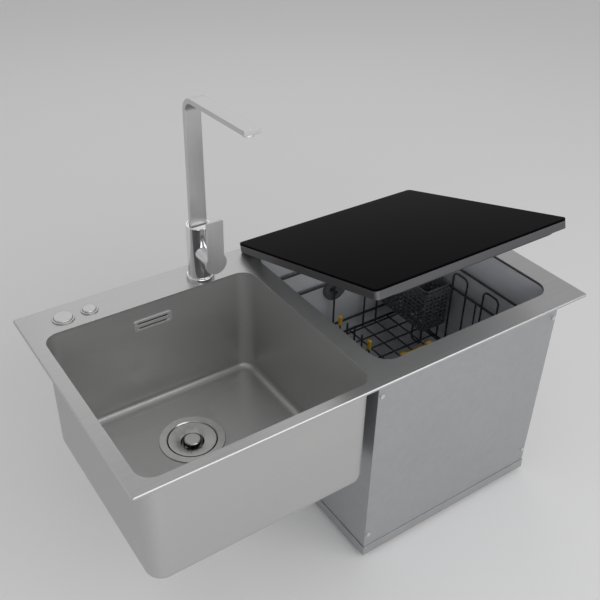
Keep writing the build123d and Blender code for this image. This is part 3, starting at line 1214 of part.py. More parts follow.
# Drain pump beside the sump, its impeller, and the pipe to the spigot at the back
DRAIN_PUMP_START = DRAIN_PUMP_X + SEAT_GAP
DRAIN_SHAFT_RADIUS = 2.5
with BuildPart() as drain_pump:
    with BuildSketch(Plane.YZ.offset(DRAIN_PUMP_START)):
        with Locations((SUMP_Y, DRAIN_PUMP_Z)):
            Circle(DRAIN_PUMP_RADIUS)
    extrude(amount=DRAIN_PUMP_LENGTH)
    bracket_x = DRAIN_PUMP_START + DRAIN_PUMP_LENGTH / 2
    with Locations((bracket_x, SUMP_Y, (DRAIN_PUMP_Z + BASE_TOP) / 2)):
        Box(20, 30, DRAIN_PUMP_Z - BASE_TOP)
    with BuildSketch(Plane.YZ.offset(DRAIN_PUMP_START + 3)):
        with Locations((SUMP_Y, DRAIN_PUMP_Z)):
            Circle(DRAIN_IMPELLER_RADIUS + 3)
    extrude(amount=15, mode=Mode.SUBTRACT)
    with BuildSketch(Plane.YZ.offset(DRAIN_PUMP_START)):
        with Locations((SUMP_Y, DRAIN_PUMP_Z)):
            Circle(DRAIN_IMPELLER_RADIUS - 4)
    extrude(amount=5, mode=Mode.SUBTRACT)
    with BuildSketch(Plane.YZ.offset(DRAIN_PUMP_START + 18)):
        with Locations((SUMP_Y, DRAIN_PUMP_Z)):
            Circle(DRAIN_SHAFT_RADIUS + TURN_GAP)
    extrude(amount=20, mode=Mode.SUBTRACT)

with BuildPart() as drain_impeller:
    wire_along_x(DRAIN_PUMP_START + 21, SUMP_Y, DRAIN_PUMP_Z, 30, DRAIN_SHAFT_RADIUS)
    wire_along_x(DRAIN_PUMP_START + 15, SUMP_Y, DRAIN_PUMP_Z, 3, DRAIN_IMPELLER_RADIUS)
    wire_along_x(DRAIN_PUMP_START + 10.5, SUMP_Y, DRAIN_PUMP_Z, 9, 2 * DRAIN_SHAFT_RADIUS)
    with Locations(Location((DRAIN_PUMP_START + 10.5, SUMP_Y, DRAIN_PUMP_Z), (0, 90, 0))):
        with PolarLocations(DRAIN_IMPELLER_RADIUS / 2 + 1.5, 4):
            Box(DRAIN_IMPELLER_RADIUS - 4, 2, 9)

PIPE_START = SUMP_Y + DRAIN_PUMP_RADIUS + SEAT_GAP
with BuildPart() as drain_pipe:
    with BuildSketch(Plane.XZ.offset(-PIPE_START)):
        with Locations((OUTLET_X, DRAIN_PUMP_Z)):
            Circle(PIPE_RADIUS)
    extrude(amount=-(BACK_FACE + FIT_GAP - PIPE_START))
    with BuildSketch(Plane.XZ.offset(-BACK_FACE - FIT_GAP)):
        with Locations((OUTLET_X, DRAIN_PUMP_Z)):
            Circle(SPIGOT_RADIUS)
    extrude(amount=-SPIGOT_LENGTH)
    with BuildSketch(Plane.XZ.offset(-PIPE_START)):
        with Locations((OUTLET_X, DRAIN_PUMP_Z)):
            Circle(PIPE_RADIUS - 2)
    extrude(amount=-2 * CASING_WIDTH, mode=Mode.SUBTRACT)

# Water inlet valve on the back panel, with its riser to the tub
VALVE_FACE = BACK_FACE - CASING_SHEET
with BuildPart() as inlet_valve:
    with BuildSketch(Plane.XZ.offset(-VALVE_FACE)):
        with Locations((INLET_X, INLET_Z)):
            RectangleRounded(VALVE_BODY, VALVE_BODY + 10, 4)
    extrude(amount=VALVE_BODY)
    with BuildSketch(Plane.XZ.offset(-VALVE_FACE)):
        with Locations((INLET_X, INLET_Z)):
            Circle(INLET_NECK_RADIUS)
    extrude(amount=-(CASING_SHEET + SEAT_GAP))
    with BuildSketch(Plane.XZ.offset(-BACK_FACE - SEAT_GAP)):
        with Locations((INLET_X, INLET_Z)):
            Circle(INLET_THREAD_RADIUS)
    extrude(amount=-INLET_THREAD_LENGTH)
    wire_upright(
        INLET_X, INLET_RISER_Y, INLET_Z + VALVE_BODY / 2, TUB_UNDER, INLET_RISER_RADIUS
    )
    with BuildSketch(Plane.XZ.offset(-BACK_FACE - SEAT_GAP - INLET_THREAD_LENGTH)):
        with Locations((INLET_X, INLET_Z)):
            Circle(INLET_THREAD_RADIUS - 4)
    extrude(amount=INLET_THREAD_LENGTH + 8, mode=Mode.SUBTRACT)

# Flow heater beside the wash pump
HEATER_X = TUB_X - PUMP_RADIUS - HEATER_RADIUS - 6.0
HEATER_STUB = TUB_X - PUMP_RADIUS - SEAT_GAP - HEATER_X
with BuildPart() as flow_heater:
    wire_along_y(HEATER_X, TUB_Y, PUMP_MIDDLE, HEATER_LENGTH, HEATER_RADIUS)
    wire_along_x(HEATER_X + HEATER_STUB / 2, TUB_Y, PUMP_MIDDLE, HEATER_STUB, 9)
    with Locations((HEATER_X, TUB_Y, (PUMP_MIDDLE + BASE_TOP) / 2)):
        Box(12, HEATER_LENGTH / 2, PUMP_MIDDLE - BASE_TOP)

# Control box on the base pan
CONTROL_X = TUB_X - CASING_LENGTH / 2 + CONTROL_LENGTH / 2 + 20.0
CONTROL_Y = TUB_Y - CASING_WIDTH / 2 + CONTROL_WIDTH / 2 + 18.0
with BuildPart() as control_box:
    with BuildSketch(Plane.XY.offset(BASE_TOP)):
        with Locations((CONTROL_X, CONTROL_Y)):
            RectangleRounded(CONTROL_LENGTH, CONTROL_WIDTH, 4)
    extrude(amount=CONTROL_HEIGHT)
    with BuildSketch(Plane.XY.offset(BASE_TOP + 2)):
        with Locations((CONTROL_X, CONTROL_Y)):
            RectangleRounded(CONTROL_LENGTH - 4, CONTROL_WIDTH - 4, 2)
    extrude(amount=CONTROL_HEIGHT - 4, mode=Mode.SUBTRACT)

# Vent cap on the tub's back wall
with BuildPart() as vent_cap:
    with BuildSketch(Plane.XZ.offset(-TUB_BACK)):
        with Locations((TUB_X, VENT_Z)):
            Circle(VENT_RADIUS)
    extrude(amount=VENT_DEPTH)
    fillet(vent_cap.edges().group_by(Axis.Y)[0], 2)
    with BuildSketch(Plane.XZ.offset(-TUB_BACK)):
        with Locations((TUB_X, VENT_Z)):
            Circle(VENT_NECK)
    extrude(amount=-TUB_SHEET - 3)
    with BuildSketch(Plane.XZ.offset(-TUB_BACK + VENT_DEPTH)):
        with Locations((TUB_X, VENT_Z)):
            with PolarLocations(VENT_NECK - 8, 4):
                Circle(5)
    extrude(amount=-2 * VENT_DEPTH, mode=Mode.SUBTRACT)

# Wire rack: floor grid, two side panels with legs, and two end panels
END_SPAN = RACK_LENGTH - 2 * POST_WIRE - 2 * SEAT_GAP
RAIL_TOP = RACK_TOP - RAIL_RADIUS
HOOP_TOP = RACK_TOP - HOOP_DROP
with BuildPart() as rack_floor:
    inside_length = RACK_LENGTH - 2 * RAIL_RADIUS - 2 * SEAT_GAP
    inside_width = RACK_WIDTH - 2 * RAIL_RADIUS - 2 * SEAT_GAP
    for y in spread(WIRE_COUNT, inside_width - 8 * WIRE_RADIUS):
        wire_along_x(TUB_X, TUB_Y + y, RACK_FLOOR, inside_length, WIRE_RADIUS)
    for x in spread(WIRE_COUNT, inside_length - 8 * WIRE_RADIUS):
        wire_along_y(TUB_X + x, TUB_Y, RACK_FLOOR + FLOOR_WIRE_STEP, inside_width, WIRE_RADIUS)

with BuildPart() as rack_side_panels:
    for side in (-1, 1):
        panel_x = TUB_X + side * RACK_LENGTH / 2
        for level in (RACK_FLOOR, SECOND_RAIL, RAIL_TOP):
            wire_along_y(panel_x, TUB_Y, level, RACK_WIDTH, RAIL_RADIUS)
        for y in (-RACK_WIDTH / 2, RACK_WIDTH / 2):
            wire_upright(
                panel_x, TUB_Y + y, RACK_FLOOR - POST_WIRE, RAIL_TOP + POST_WIRE, POST_WIRE
            )
        for y in (-RACK_LEG_PLACE, RACK_LEG_PLACE):
            wire_upright(panel_x, TUB_Y + y, TUB_FLOOR + SEAT_GAP, RACK_FLOOR, POST_WIRE)
        for y in SIDE_UPRIGHTS:
            wire_upright(panel_x, TUB_Y + y, RACK_FLOOR, SECOND_RAIL, WIRE_RADIUS)
        for y in HOOP_PLACES:
            hoop_length = HOOP_WIDTH + 2 * HOOP_RADIUS
            wire_along_y(panel_x, TUB_Y + y, HOOP_TOP, hoop_length, HOOP_RADIUS)
            for end in (-HOOP_WIDTH / 2, HOOP_WIDTH / 2):
                wire_upright(panel_x, TUB_Y + y + end, RACK_FLOOR, HOOP_TOP, HOOP_RADIUS - 0.1)

with BuildPart() as rack_end_panels:
    for side in (-1, 1):
        panel_y = TUB_Y + side * RACK_WIDTH / 2
        for level in (RACK_FLOOR, RACK_FLOOR + END_RAIL_LIFT, SECOND_RAIL, RAIL_TOP):
            wire_along_x(TUB_X, panel_y, level, END_SPAN, RAIL_RADIUS)
        for x in END_UPRIGHTS:
            wire_upright(TUB_X + x, panel_y, RACK_FLOOR, RAIL_TOP, HOOP_RADIUS)

# Folding tines: a rod on the rack's floor with upright wires, capped or joined by a handle
with BuildPart() as left_tines:
    left_run = LEFT_TINE_PITCH * (LEFT_TINE_COUNT - 1)
    wire_along_y(LEFT_TINES_X, LEFT_TINES_Y, LEFT_ROD_Z, left_run + 16, RAIL_RADIUS)
    for y in spread(LEFT_TINE_COUNT, left_run):
        wire_upright(
            LEFT_TINES_X, LEFT_TINES_Y + y, LEFT_ROD_Z, LEFT_ROD_Z + TINE_HEIGHT, TINE_RADIUS
        )

with BuildPart() as tine_caps:
    for y in (-left_run / 2, left_run / 2):
        cap_base = LEFT_ROD_Z + TINE_HEIGHT + 2 - TINE_CAP_LENGTH
        wire_upright(
            LEFT_TINES_X, LEFT_TINES_Y + y, cap_base, cap_base + TINE_CAP_LENGTH, TINE_CAP_RADIUS
        )
        with Locations((LEFT_TINES_X, LEFT_TINES_Y + y, cap_base)):
            Cylinder(TINE_RADIUS, 2 * TINE_CAP_LENGTH - 4, mode=Mode.SUBTRACT)

with BuildPart() as front_tines:
    front_run = FRONT_TINE_PITCH * (FRONT_TINE_COUNT - 1)
    wire_along_x(FRONT_TINES_X, FRONT_TINES_Y, FRONT_ROD_Z, front_run + 16, RAIL_RADIUS)
    for x in spread(FRONT_TINE_COUNT, front_run):
        wire_upright(
            FRONT_TINES_X + x, FRONT_TINES_Y, FRONT_ROD_Z, FRONT_ROD_Z + TINE_HEIGHT, TINE_RADIUS
        )

with BuildPart() as tine_handle:
    handle_base = FRONT_ROD_Z + TINE_HEIGHT + 2 - TINE_HANDLE_HEIGHT
    with Locations((FRONT_TINES_X, FRONT_TINES_Y, handle_base + TINE_HANDLE_HEIGHT / 2)):
        Box(front_run + TINE_GRIP_LENGTH, TINE_HANDLE_WIDTH, TINE_HANDLE_HEIGHT)
    fillet(tine_handle.edges().filter_by(Axis.X), 1.5)
    grip_z = handle_base + (TINE_HANDLE_HEIGHT + TINE_GRIP_PROUD) / 2
    for x in (-front_run / 2, front_run / 2):
        with Locations((FRONT_TINES_X + x, FRONT_TINES_Y, grip_z)):
            Box(
                TINE_GRIP_LENGTH + 2,
                TINE_HANDLE_WIDTH + 2,
                TINE_HANDLE_HEIGHT + TINE_GRIP_PROUD,
            )
    for x in spread(FRONT_TINE_COUNT, front_run):
        with Locations((FRONT_TINES_X + x, FRONT_TINES_Y, handle_base)):
            Cylinder(TINE_RADIUS, 2 * TINE_HANDLE_HEIGHT - 4, mode=Mode.SUBTRACT)

# Cutlery basket hooked over the right side panel's second rail
with BuildPart() as cutlery_basket:
    with BuildSketch(Plane.XY.offset(BASKET_FLOOR)):
        with Locations((BASKET_X, BASKET_Y)):
            RectangleRounded(BASKET_WIDTH, BASKET_LENGTH, 5)
    extrude(amount=BASKET_HEIGHT)
    with BuildSketch(Plane.XY.offset(BASKET_FLOOR + BASKET_WALL)):
        with Locations((BASKET_X, BASKET_Y)):
            RectangleRounded(BASKET_WIDTH - 2 * BASKET_WALL, BASKET_LENGTH - 2 * BASKET_WALL, 3)
    extrude(amount=BASKET_HEIGHT, mode=Mode.SUBTRACT)
    with Locations((BASKET_X, BASKET_Y, BASKET_FLOOR + BASKET_HEIGHT / 2)):
        Box(BASKET_WIDTH, BASKET_WALL, BASKET_HEIGHT)
    window_levels = BASKET_HEIGHT / 2 - 6
    with Locations((BASKET_X, BASKET_Y, BASKET_FLOOR + BASKET_HEIGHT / 2 - 3)):
        with GridLocations(0, BASKET_LENGTH / 7, 1, 6):
            for z in (-window_levels / 2, window_levels / 2):
                with Locations((0, 0, z)):
                    Box(2 * BASKET_WIDTH, 13, window_levels - 6, mode=Mode.SUBTRACT)
        with GridLocations(BASKET_WIDTH / 3.6, 0, 3, 1):
            for z in (-window_levels / 2, window_levels / 2):
                with Locations((0, 0, z)):
                    Box(12, 2 * BASKET_LENGTH, window_levels - 6, mode=Mode.SUBTRACT)
    hook_out = TUB_X + RACK_LENGTH / 2 + RAIL_RADIUS + SEAT_GAP + BASKET_WALL
    hook_reach = hook_out - BASKET_RIGHT + BASKET_WALL
    hook_under = SECOND_RAIL + RAIL_RADIUS + SEAT_GAP
    for y in spread(2, BASKET_HOOK_SPACING):
        with Locations((hook_out - hook_reach / 2, BASKET_Y + y, hook_under + BASKET_WALL / 2)):
            Box(hook_reach, BASKET_HOOK_WIDTH, BASKET_WALL)
        with Locations((hook_out - BASKET_WALL / 2, BASKET_Y + y, hook_under - BASKET_HOOK_DROP / 2)):
            Box(BASKET_WALL, BASKET_HOOK_WIDTH, BASKET_HOOK_DROP)

PIECES = {
    "top_plate": top_plate,
    "sink_bowl": sink_bowl,
    "overflow_cover": overflow_cover,
    "overflow_pipe": overflow_pipe,
    "drain_flange": drain_flange,
    "drain_body": drain_body,
    "tail_pipe": tail_pipe,
    "drain_lifter": drain_lifter,
    "strainer_basket": strainer_basket,
    "button_bushes": button_bushes,
    "drain_button": drain_button,
    "air_button": air_button,
    "drain_cable": drain_cable,
    "tap_base_ring": tap_base_ring,
    "tap_body": tap_body,
    "tap_shank": tap_shank,
    "tap_nut": tap_nut,
    "tap_cartridge": tap_cartridge,
    "cartridge_spindle": cartridge_spindle,
    "tap_lever": tap_lever,
    "spout_collar": spout_collar,
    "tap_spout": tap_spout,
    "tap_aerator": tap_aerator,
    "lid_frame": lid_frame,
    "lid_glass": lid_glass,
    "lid_inner_pan": lid_inner_pan,
    "lid_seal": lid_seal,
    "hinge_brackets": hinge_brackets,
    "hinge_pins": hinge_pins,
    "tub": tub,
    "tub_seal": tub_seal,
    "base_pan": base_pan,
    "feet": feet,
    "side_panels": side_panels,
    "service_cover": service_cover,
    "cover_screws": cover_screws,
    "back_panel": back_panel,
    "cable_gland": cable_gland,
    "sump": sump,
    "filter_plate": filter_plate,
    "filter_cup": filter_cup,
    "pump_housing": pump_housing,
    "pump_motor": pump_motor,
    "pump_impeller": pump_impeller,
    "spray_arm": spray_arm,
    "drain_pump": drain_pump,
    "drain_impeller": drain_impeller,
    "drain_pipe": drain_pipe,
    "inlet_valve": inlet_valve,
    "flow_heater": flow_heater,
    "control_box": control_box,
    "vent_cap": vent_cap,
    "rack_floor": rack_floor,
    "rack_side_panels": rack_side_panels,
    "rack_end_panels": rack_end_panels,
    "left_tines": left_tines,
    "tine_caps": tine_caps,
    "front_tines": front_tines,
    "tine_handle": tine_handle,
    "cutlery_basket": cutlery_basket,
}

os.makedirs("parts", exist_ok=True)
for name, piece in PIECES.items():
    piece.part.label = name
    export_step(piece.part, f"parts/{name}.step")
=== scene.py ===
"""Finish and fine shapes of a worktop unit with a sink bowl, a tap and a top-opening dishwasher.

Metres, in the frame of the solid model: +X along the plate, -Y towards the user, +Z up.
"""

import json
import math

import bpy
from mathutils import Matrix, Vector


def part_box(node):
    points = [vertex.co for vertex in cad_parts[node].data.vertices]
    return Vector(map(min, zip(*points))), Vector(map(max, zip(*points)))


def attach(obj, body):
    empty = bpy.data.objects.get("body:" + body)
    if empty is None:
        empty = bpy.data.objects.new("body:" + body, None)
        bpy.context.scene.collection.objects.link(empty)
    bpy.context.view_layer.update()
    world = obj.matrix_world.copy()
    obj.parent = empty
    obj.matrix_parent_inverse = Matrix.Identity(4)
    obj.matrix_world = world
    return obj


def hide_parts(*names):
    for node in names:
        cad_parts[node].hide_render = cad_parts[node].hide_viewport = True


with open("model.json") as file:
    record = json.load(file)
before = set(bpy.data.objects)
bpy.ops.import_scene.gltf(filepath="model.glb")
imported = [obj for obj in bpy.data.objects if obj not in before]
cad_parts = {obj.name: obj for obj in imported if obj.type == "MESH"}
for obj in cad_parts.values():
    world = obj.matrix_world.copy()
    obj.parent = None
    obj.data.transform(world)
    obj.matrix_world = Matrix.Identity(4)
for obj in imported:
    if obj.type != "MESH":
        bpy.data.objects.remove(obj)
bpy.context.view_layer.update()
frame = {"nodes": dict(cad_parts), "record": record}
NODES = frame["nodes"]

# The photograph's camera
CAMERA_PLACE = (-0.6648, -0.9169, 1.2163)
CAMERA_AZIMUTH = 35.07
CAMERA_ELEVATION = 34.345
CAMERA_ROLL = 1.524
CAMERA_LENS = 49.8
CAMERA_SENSOR = 36.0
CAMERA_NEAR = 0.01
CAMERA_FAR = 50.0

# Studio, where each lamp has its place, the point it faces, its two sides and its power
FLOOR_HALF = 9.0
FLOOR_COLOUR = (0.8, 0.8, 0.8)
FLOOR_ROUGHNESS = 0.7
WORLD_COLOUR = (0.82, 0.82, 0.83)
WORLD_STRENGTH = 0.62
LAMPS = {
    "back_lamp": ((1.0, 2.2, 1.9), (0.0, 0.0, 0.4), (2.4, 1.3), 5.0),
    "left_lamp": ((-2.3, 1.5, 1.5), (-0.3, 0.0, 0.4), (1.4, 1.0), 2.0),
    "front_lamp": ((1.0, -2.5, 1.9), (0.15, 0.1, 0.25), (3.2, 1.8), 31.0),
    "low_lamp": ((-1.0, -2.3, 1.2), (0.2, 0.1, 0.35), (1.6, 1.0), 16.0),
}

# Noise in the finishes
CLOUD_DETAIL = 2.0
CLOUD_ROUGHNESS = 0.5
STREAK_DETAIL = 3.0
STREAK_ROUGHNESS = 0.6
FINE_DETAIL = 2.0
FINE_SCALE = 3.6
ALONG_X = (9.0, 380.0, 380.0)
ALONG_Y = (380.0, 9.0, 380.0)

# Rounding of edges, with the angles in degrees
SHARP_ANGLE = 30.0
SMOOTH_ANGLE = 35.0
FLAT_ANGLE = 0.5
EDGE_SEGMENTS = 2
FLATS_WEIGHT = 90
MERGE_DISTANCE = 0.000005

# Solids shown as rounded copies, each with its body and the width of the rounding
DRESSED_PIECES = (
    ("top_plate", "base", 0.0009),
    ("overflow_cover", "base", 0.0004),
    ("drain_flange", "base", 0.0003),
    ("strainer_basket", "strainer", 0.0004),
    ("button_bushes", "base", 0.0003),
    ("drain_button", "drain_button", 0.0008),
    ("air_button", "air_button", 0.0008),
    ("tap_lever", "lever", 0.0012),
    ("spout_collar", "spout", 0.0006),
    ("tap_spout", "spout", 0.0010),
    ("tap_aerator", "spout", 0.0004),
    ("lid_glass", "lid", 0.0008),
    ("lid_frame", "lid", 0.0006),
    ("lid_inner_pan", "lid", 0.0003),
    ("hinge_brackets", "base", 0.0006),
    ("tine_caps", "left_tines", 0.0014),
    ("tine_handle", "front_tines", 0.0014),
    ("side_panels", "base", 0.0003),
    ("service_cover", "base", 0.0003),
    ("back_panel", "base", 0.0003),
    ("base_pan", "base", 0.0003),
    ("feet", "base", 0.0010),
    ("vent_cap", "base", 0.0008),
)

# Finishes of rounded copies that differ from those of their solids
DRESSED_SLOTS = {
    "overflow_cover": "satin_steel",
    "vent_cap": "black_plastic",
}

# Turned pieces
TURNED_STEPS = 96
TURNED_EDGE = 0.0005

# Tap, where a round is a list of steps inwards from the rim and down from its top
TAP_PLACE = (-0.109, 0.178)
PLATE_TOP = 0.4300
BODY_RADIUS = 0.0210
BODY_FOOT = PLATE_TOP + 0.0002
BODY_TOP = 0.5350
BODY_ROUND = ((0.0, 0.0008), (0.0008, 0.0))
SEAT_RADIUS = 0.0175
SEAT_LEVEL = 0.5256
BOSS_LEVEL = 0.487
BOSS_RADIUS = 0.0150
BOSS_ROOT = 0.0120
BOSS_REACH = 0.0510
BOSS_ROUND = ((0.0, 0.0030), (0.0003, 0.0017), (0.0009, 0.0008), (0.0018, 0.0002))
BOSS_MOUTH = 0.0125
BOSS_BORE = 0.0124
BOSS_FLOOR = 0.0301
RING_RADIUS = 0.0245
RING_FOOT = PLATE_TOP + 0.0001
RING_TOP = 0.4380
RING_ROUND = ((0.0, 0.0020), (0.0006, 0.0006), (0.0020, 0.0))
RING_BORE = 0.0211
RING_SEAT = PLATE_TOP + 0.0006

# Bent wire
BEND_HANDLE = 0.55
BEND_STEPS = 5
WIRE_RESOLUTION = 2

# Wire rack
RACK_MIDDLE = (0.193, 0.001)
RACK_HALF_X = 0.177
RACK_HALF_Y = 0.174
RACK_TOP = 0.3675
RACK_SECOND = 0.3180
RACK_LOW = 0.2130
RACK_FLOOR = 0.1820
TUB_FLOOR = 0.1300
RAIL = 0.0025
RAIL_BEND = 0.036
FLOOR_BEND = 0.010
LOW_RAIL_INSET = 0.006
THIN = 0.00175
HOOP_WIRE = 0.0020
HOOP_BEND = 0.010
HOOP_TOP = 0.3540
HOOP_HALF = 0.019
HOOP_PLACES = (-0.136, -0.067, 0.0145, 0.100)
SIDE_UPRIGHTS = (-0.102, -0.033, 0.058, 0.146)
END_UPRIGHTS = (-0.007, 0.073, 0.107)
LEG_PLACE = 0.116
LEG_HALF = 0.014
LEG_BEND = 0.008
LEG_LEVEL = TUB_FLOOR + 0.0023

# Folding tines: the node and body, the axis of the rod and the number of tines
TINES = (("left_tines", 1, 5), ("front_tines", 0, 4))
TINE_END = 0.008

# Cutlery basket
BASKET_WIDTH = 0.061
BASKET_HEIGHT = 0.095
BASKET_WALL = 0.002
LATTICE_BAR = 0.0034
LATTICE_SHEET = 0.0016
LONG_CELLS = 10
SHORT_CELLS = 6
HIGH_CELLS = 10
RIM_HEIGHT = 0.0045
SECOND_BAND_DROP = 0.0150
SECOND_BAND_HEIGHT = 0.0025
LOW_BAND_HEIGHT = 0.0035
BAND_EDGE = 0.0004
DIVIDER_DROP = 0.002
DIVIDER_EDGE = 0.0003
DIVIDER_RIM = 0.004
POST_SIDE = 0.004
POST_EDGE = 0.0008
HOOK_HALF_SPACING = 0.0285
HOOK_HALF_WIDTH = 0.007
HOOK_SHEET = 0.002
HOOK_DROP = 0.010
HOOK_ROOT = 0.006
HOOK_EDGE = 0.0005


class Value:
    """A value that one node of a finish gives, with arithmetic that adds Math nodes."""

    def __init__(self, finish, socket):
        self.finish = finish
        self.socket = socket

    def _math(self, operation, first, second=None):
        values = {0: first}
        if second is not None:
            values[1] = second
        return self.finish.node("ShaderNodeMath", {"operation": operation}, values)

    def __add__(self, other):
        return self._math("ADD", self, other)

    def __radd__(self, other):
        return self._math("ADD", other, self)

    def __sub__(self, other):
        return self._math("SUBTRACT", self, other)

    def __rsub__(self, other):
        return self._math("SUBTRACT", other, self)

    def __mul__(self, other):
        return self._math("MULTIPLY", self, other)

    def __rmul__(self, other):
        return self._math("MULTIPLY", other, self)

    def __gt__(self, other):
        return self._math("GREATER_THAN", self, other)

    def __abs__(self):
        return self._math("ABSOLUTE", self)


class Finish:
    """A procedural material: a Principled shader and the nodes that drive it."""

    def __init__(self, name, colour, roughness, metallic=0.0, **sockets):
        self.material = bpy.data.materials.new(name)
        self.material.use_nodes = True
        self.material.diffuse_color = (*colour, 1.0)
        self.tree = self.material.node_tree
        self.tree.nodes.clear()
        output = self.tree.nodes.new("ShaderNodeOutputMaterial")
        self.shader = self.tree.nodes.new("ShaderNodeBsdfPrincipled")
        self.tree.links.new(self.shader.outputs[0], output.inputs[0])
        self.set("Base Color", (*colour, 1.0))
        self.set("Roughness", roughness)
        self.set("Metallic", metallic)
        for socket, value in sockets.items():
            self.set(socket.replace("_", " "), value)

    def put(self, socket, value):
        """Sets an input socket to a number, a colour or another node's value."""
        if isinstance(value, Value):
            self.tree.links.new(value.socket, socket)
        else:
            socket.default_value = value

    def set(self, socket, value):
        self.put(self.shader.inputs[socket], value)

    def node(self, kind, settings, values, output=0):
        """One node of a type, with its settings made first and then its inputs."""
        node = self.tree.nodes.new(kind)
        for name, value in settings.items():
            setattr(node, name, value)
        for name, value in values.items():
            self.put(node.inputs[name], value)
        return Value(self, node.outputs[output])

    def place(self):
        """The point of the piece that is shaded, in the object's own coordinates."""
        return self.node("ShaderNodeTexCoord", {}, {}, "Object")

    def noise(self, vector, scale, detail, rough):
        values = {"Vector": vector, "Scale": scale, "Detail": detail, "Roughness": rough}
        return self.node("ShaderNodeTexNoise", {}, values)

    def clouds(self, scale):
        """Even noise over the piece, coarse or fine by its scale."""
        return self.noise(self.place(), scale, CLOUD_DETAIL, CLOUD_ROUGHNESS)

    def streaks(self, scale, detail=STREAK_DETAIL, turn=(0.0, 0.0, 0.0)):
        """Noise drawn out by a different scale along each axis of the piece."""
        values = {"Vector": self.place(), "Scale": scale, "Rotation": turn}
        drawn = self.node("ShaderNodeMapping", {}, values)
        return self.noise(drawn, 1.0, detail, STREAK_ROUGHNESS)

    def blend(self, factor, first, second):
        """A colour between two colours."""
        settings = {"data_type": "RGBA", "blend_type": "MIX"}
        return self.node("ShaderNodeMix", settings, {0: factor, 6: first, 7: second}, 2)

    def shade(self, colour, darker, brighter, factor):
        """The colour made darker and brighter over the surface by a factor from 0 to 1."""
        dark = (*[channel * darker for channel in colour], 1.0)
        bright = (*[min(channel * brighter, 1.0) for channel in colour], 1.0)
        self.set("Base Color", self.blend(factor, dark, bright))

    def bump(self, height, strength, distance):
        values = {"Height": height, "Strength": strength, "Distance": distance}
        self.set("Normal", self.node("ShaderNodeBump", {}, values))


def brushed_metal(name, colour, roughness, grain=(7.0, 420.0, 420.0), contrast=0.2, metal=0.86):
    """Metal with long fine scratches along one axis, and wide faint clouds from handling."""
    finish = Finish(name, colour, roughness, metal)
    coarse = finish.streaks(grain)
    fine = finish.streaks(tuple(FINE_SCALE * step for step in grain), FINE_DETAIL)
    cloud = finish.clouds(7.0)
    scratches = coarse * 0.55 + fine * 0.45
    finish.shade(colour, 1.0 - contrast, 1.0 + contrast, scratches * 0.8 + cloud * 0.2)
    finish.set("Roughness", scratches * 0.16 + cloud * 0.08 + (roughness - 0.12))
    finish.bump(scratches, 0.12, 0.0004)
    return finish.material


def folded_steel(name, colour, roughness, contrast=0.08, metal=0.8):
    """Sheet steel brushed along each wall: along Y on the side walls and along X elsewhere."""
    finish = Finish(name, colour, roughness, metal)
    normal = finish.node("ShaderNodeNewGeometry", {}, {}, "True Normal")
    facing = finish.node("ShaderNodeSeparateXYZ", {}, {0: normal})
    side = abs(facing) > 0.7
    along_x = finish.streaks(ALONG_X)
    along_y = finish.streaks(ALONG_Y)
    cloud = finish.clouds(5.0)
    scratches = along_x * (1.0 - side) + along_y * side
    finish.shade(colour, 1.0 - contrast, 1.0 + contrast, scratches * 0.7 + cloud * 0.3)
    finish.set("Roughness", scratches * 0.14 + cloud * 0.1 + (roughness - 0.12))
    finish.bump(scratches, 0.04, 0.0003)
    return finish.material


def polished_metal(name, colour, roughness):
    """Bright plated metal with faint smears and water marks."""
    finish = Finish(name, colour, roughness, 1.0)
    smear = finish.streaks((60.0, 60.0, 18.0))
    marks = finish.clouds(260.0)
    finish.shade(colour, 0.93, 1.05, smear)
    finish.set("Roughness", smear * 0.05 + marks * 0.03 + (roughness - 0.03))
    finish.bump(marks, 0.02, 0.0003)
    return finish.material


def moulded_plastic(name, colour, roughness, pore=900.0):
    """Injection-moulded plastic with a fine spark texture and slight unevenness of tone."""
    finish = Finish(name, colour, roughness)
    cloud = finish.clouds(14.0)
    pores = finish.clouds(pore)
    finish.shade(colour, 0.86, 1.14, cloud * 0.6 + pores * 0.4)
    finish.set("Roughness", pores * 0.12 + cloud * 0.06 + (roughness - 0.09))
    finish.bump(pores, 0.16, 0.0003)
    return finish.material


def dark_glass(name, colour):
    """Opaque black glass with a faint film of dust and wiping marks."""
    finish = Finish(name, colour, 0.06, 0.0, IOR=1.1, Specular_IOR_Level=0.1)
    dust = finish.clouds(320.0)
    wipe = finish.streaks((5.0, 22.0, 22.0), turn=(0.0, 0.0, 0.5))
    finish.shade(colour, 0.8, 1.5, dust * 0.5 + wipe * 0.5)
    finish.set("Roughness", wipe * 0.05 + dust * 0.03 + 0.03)
    return finish.material


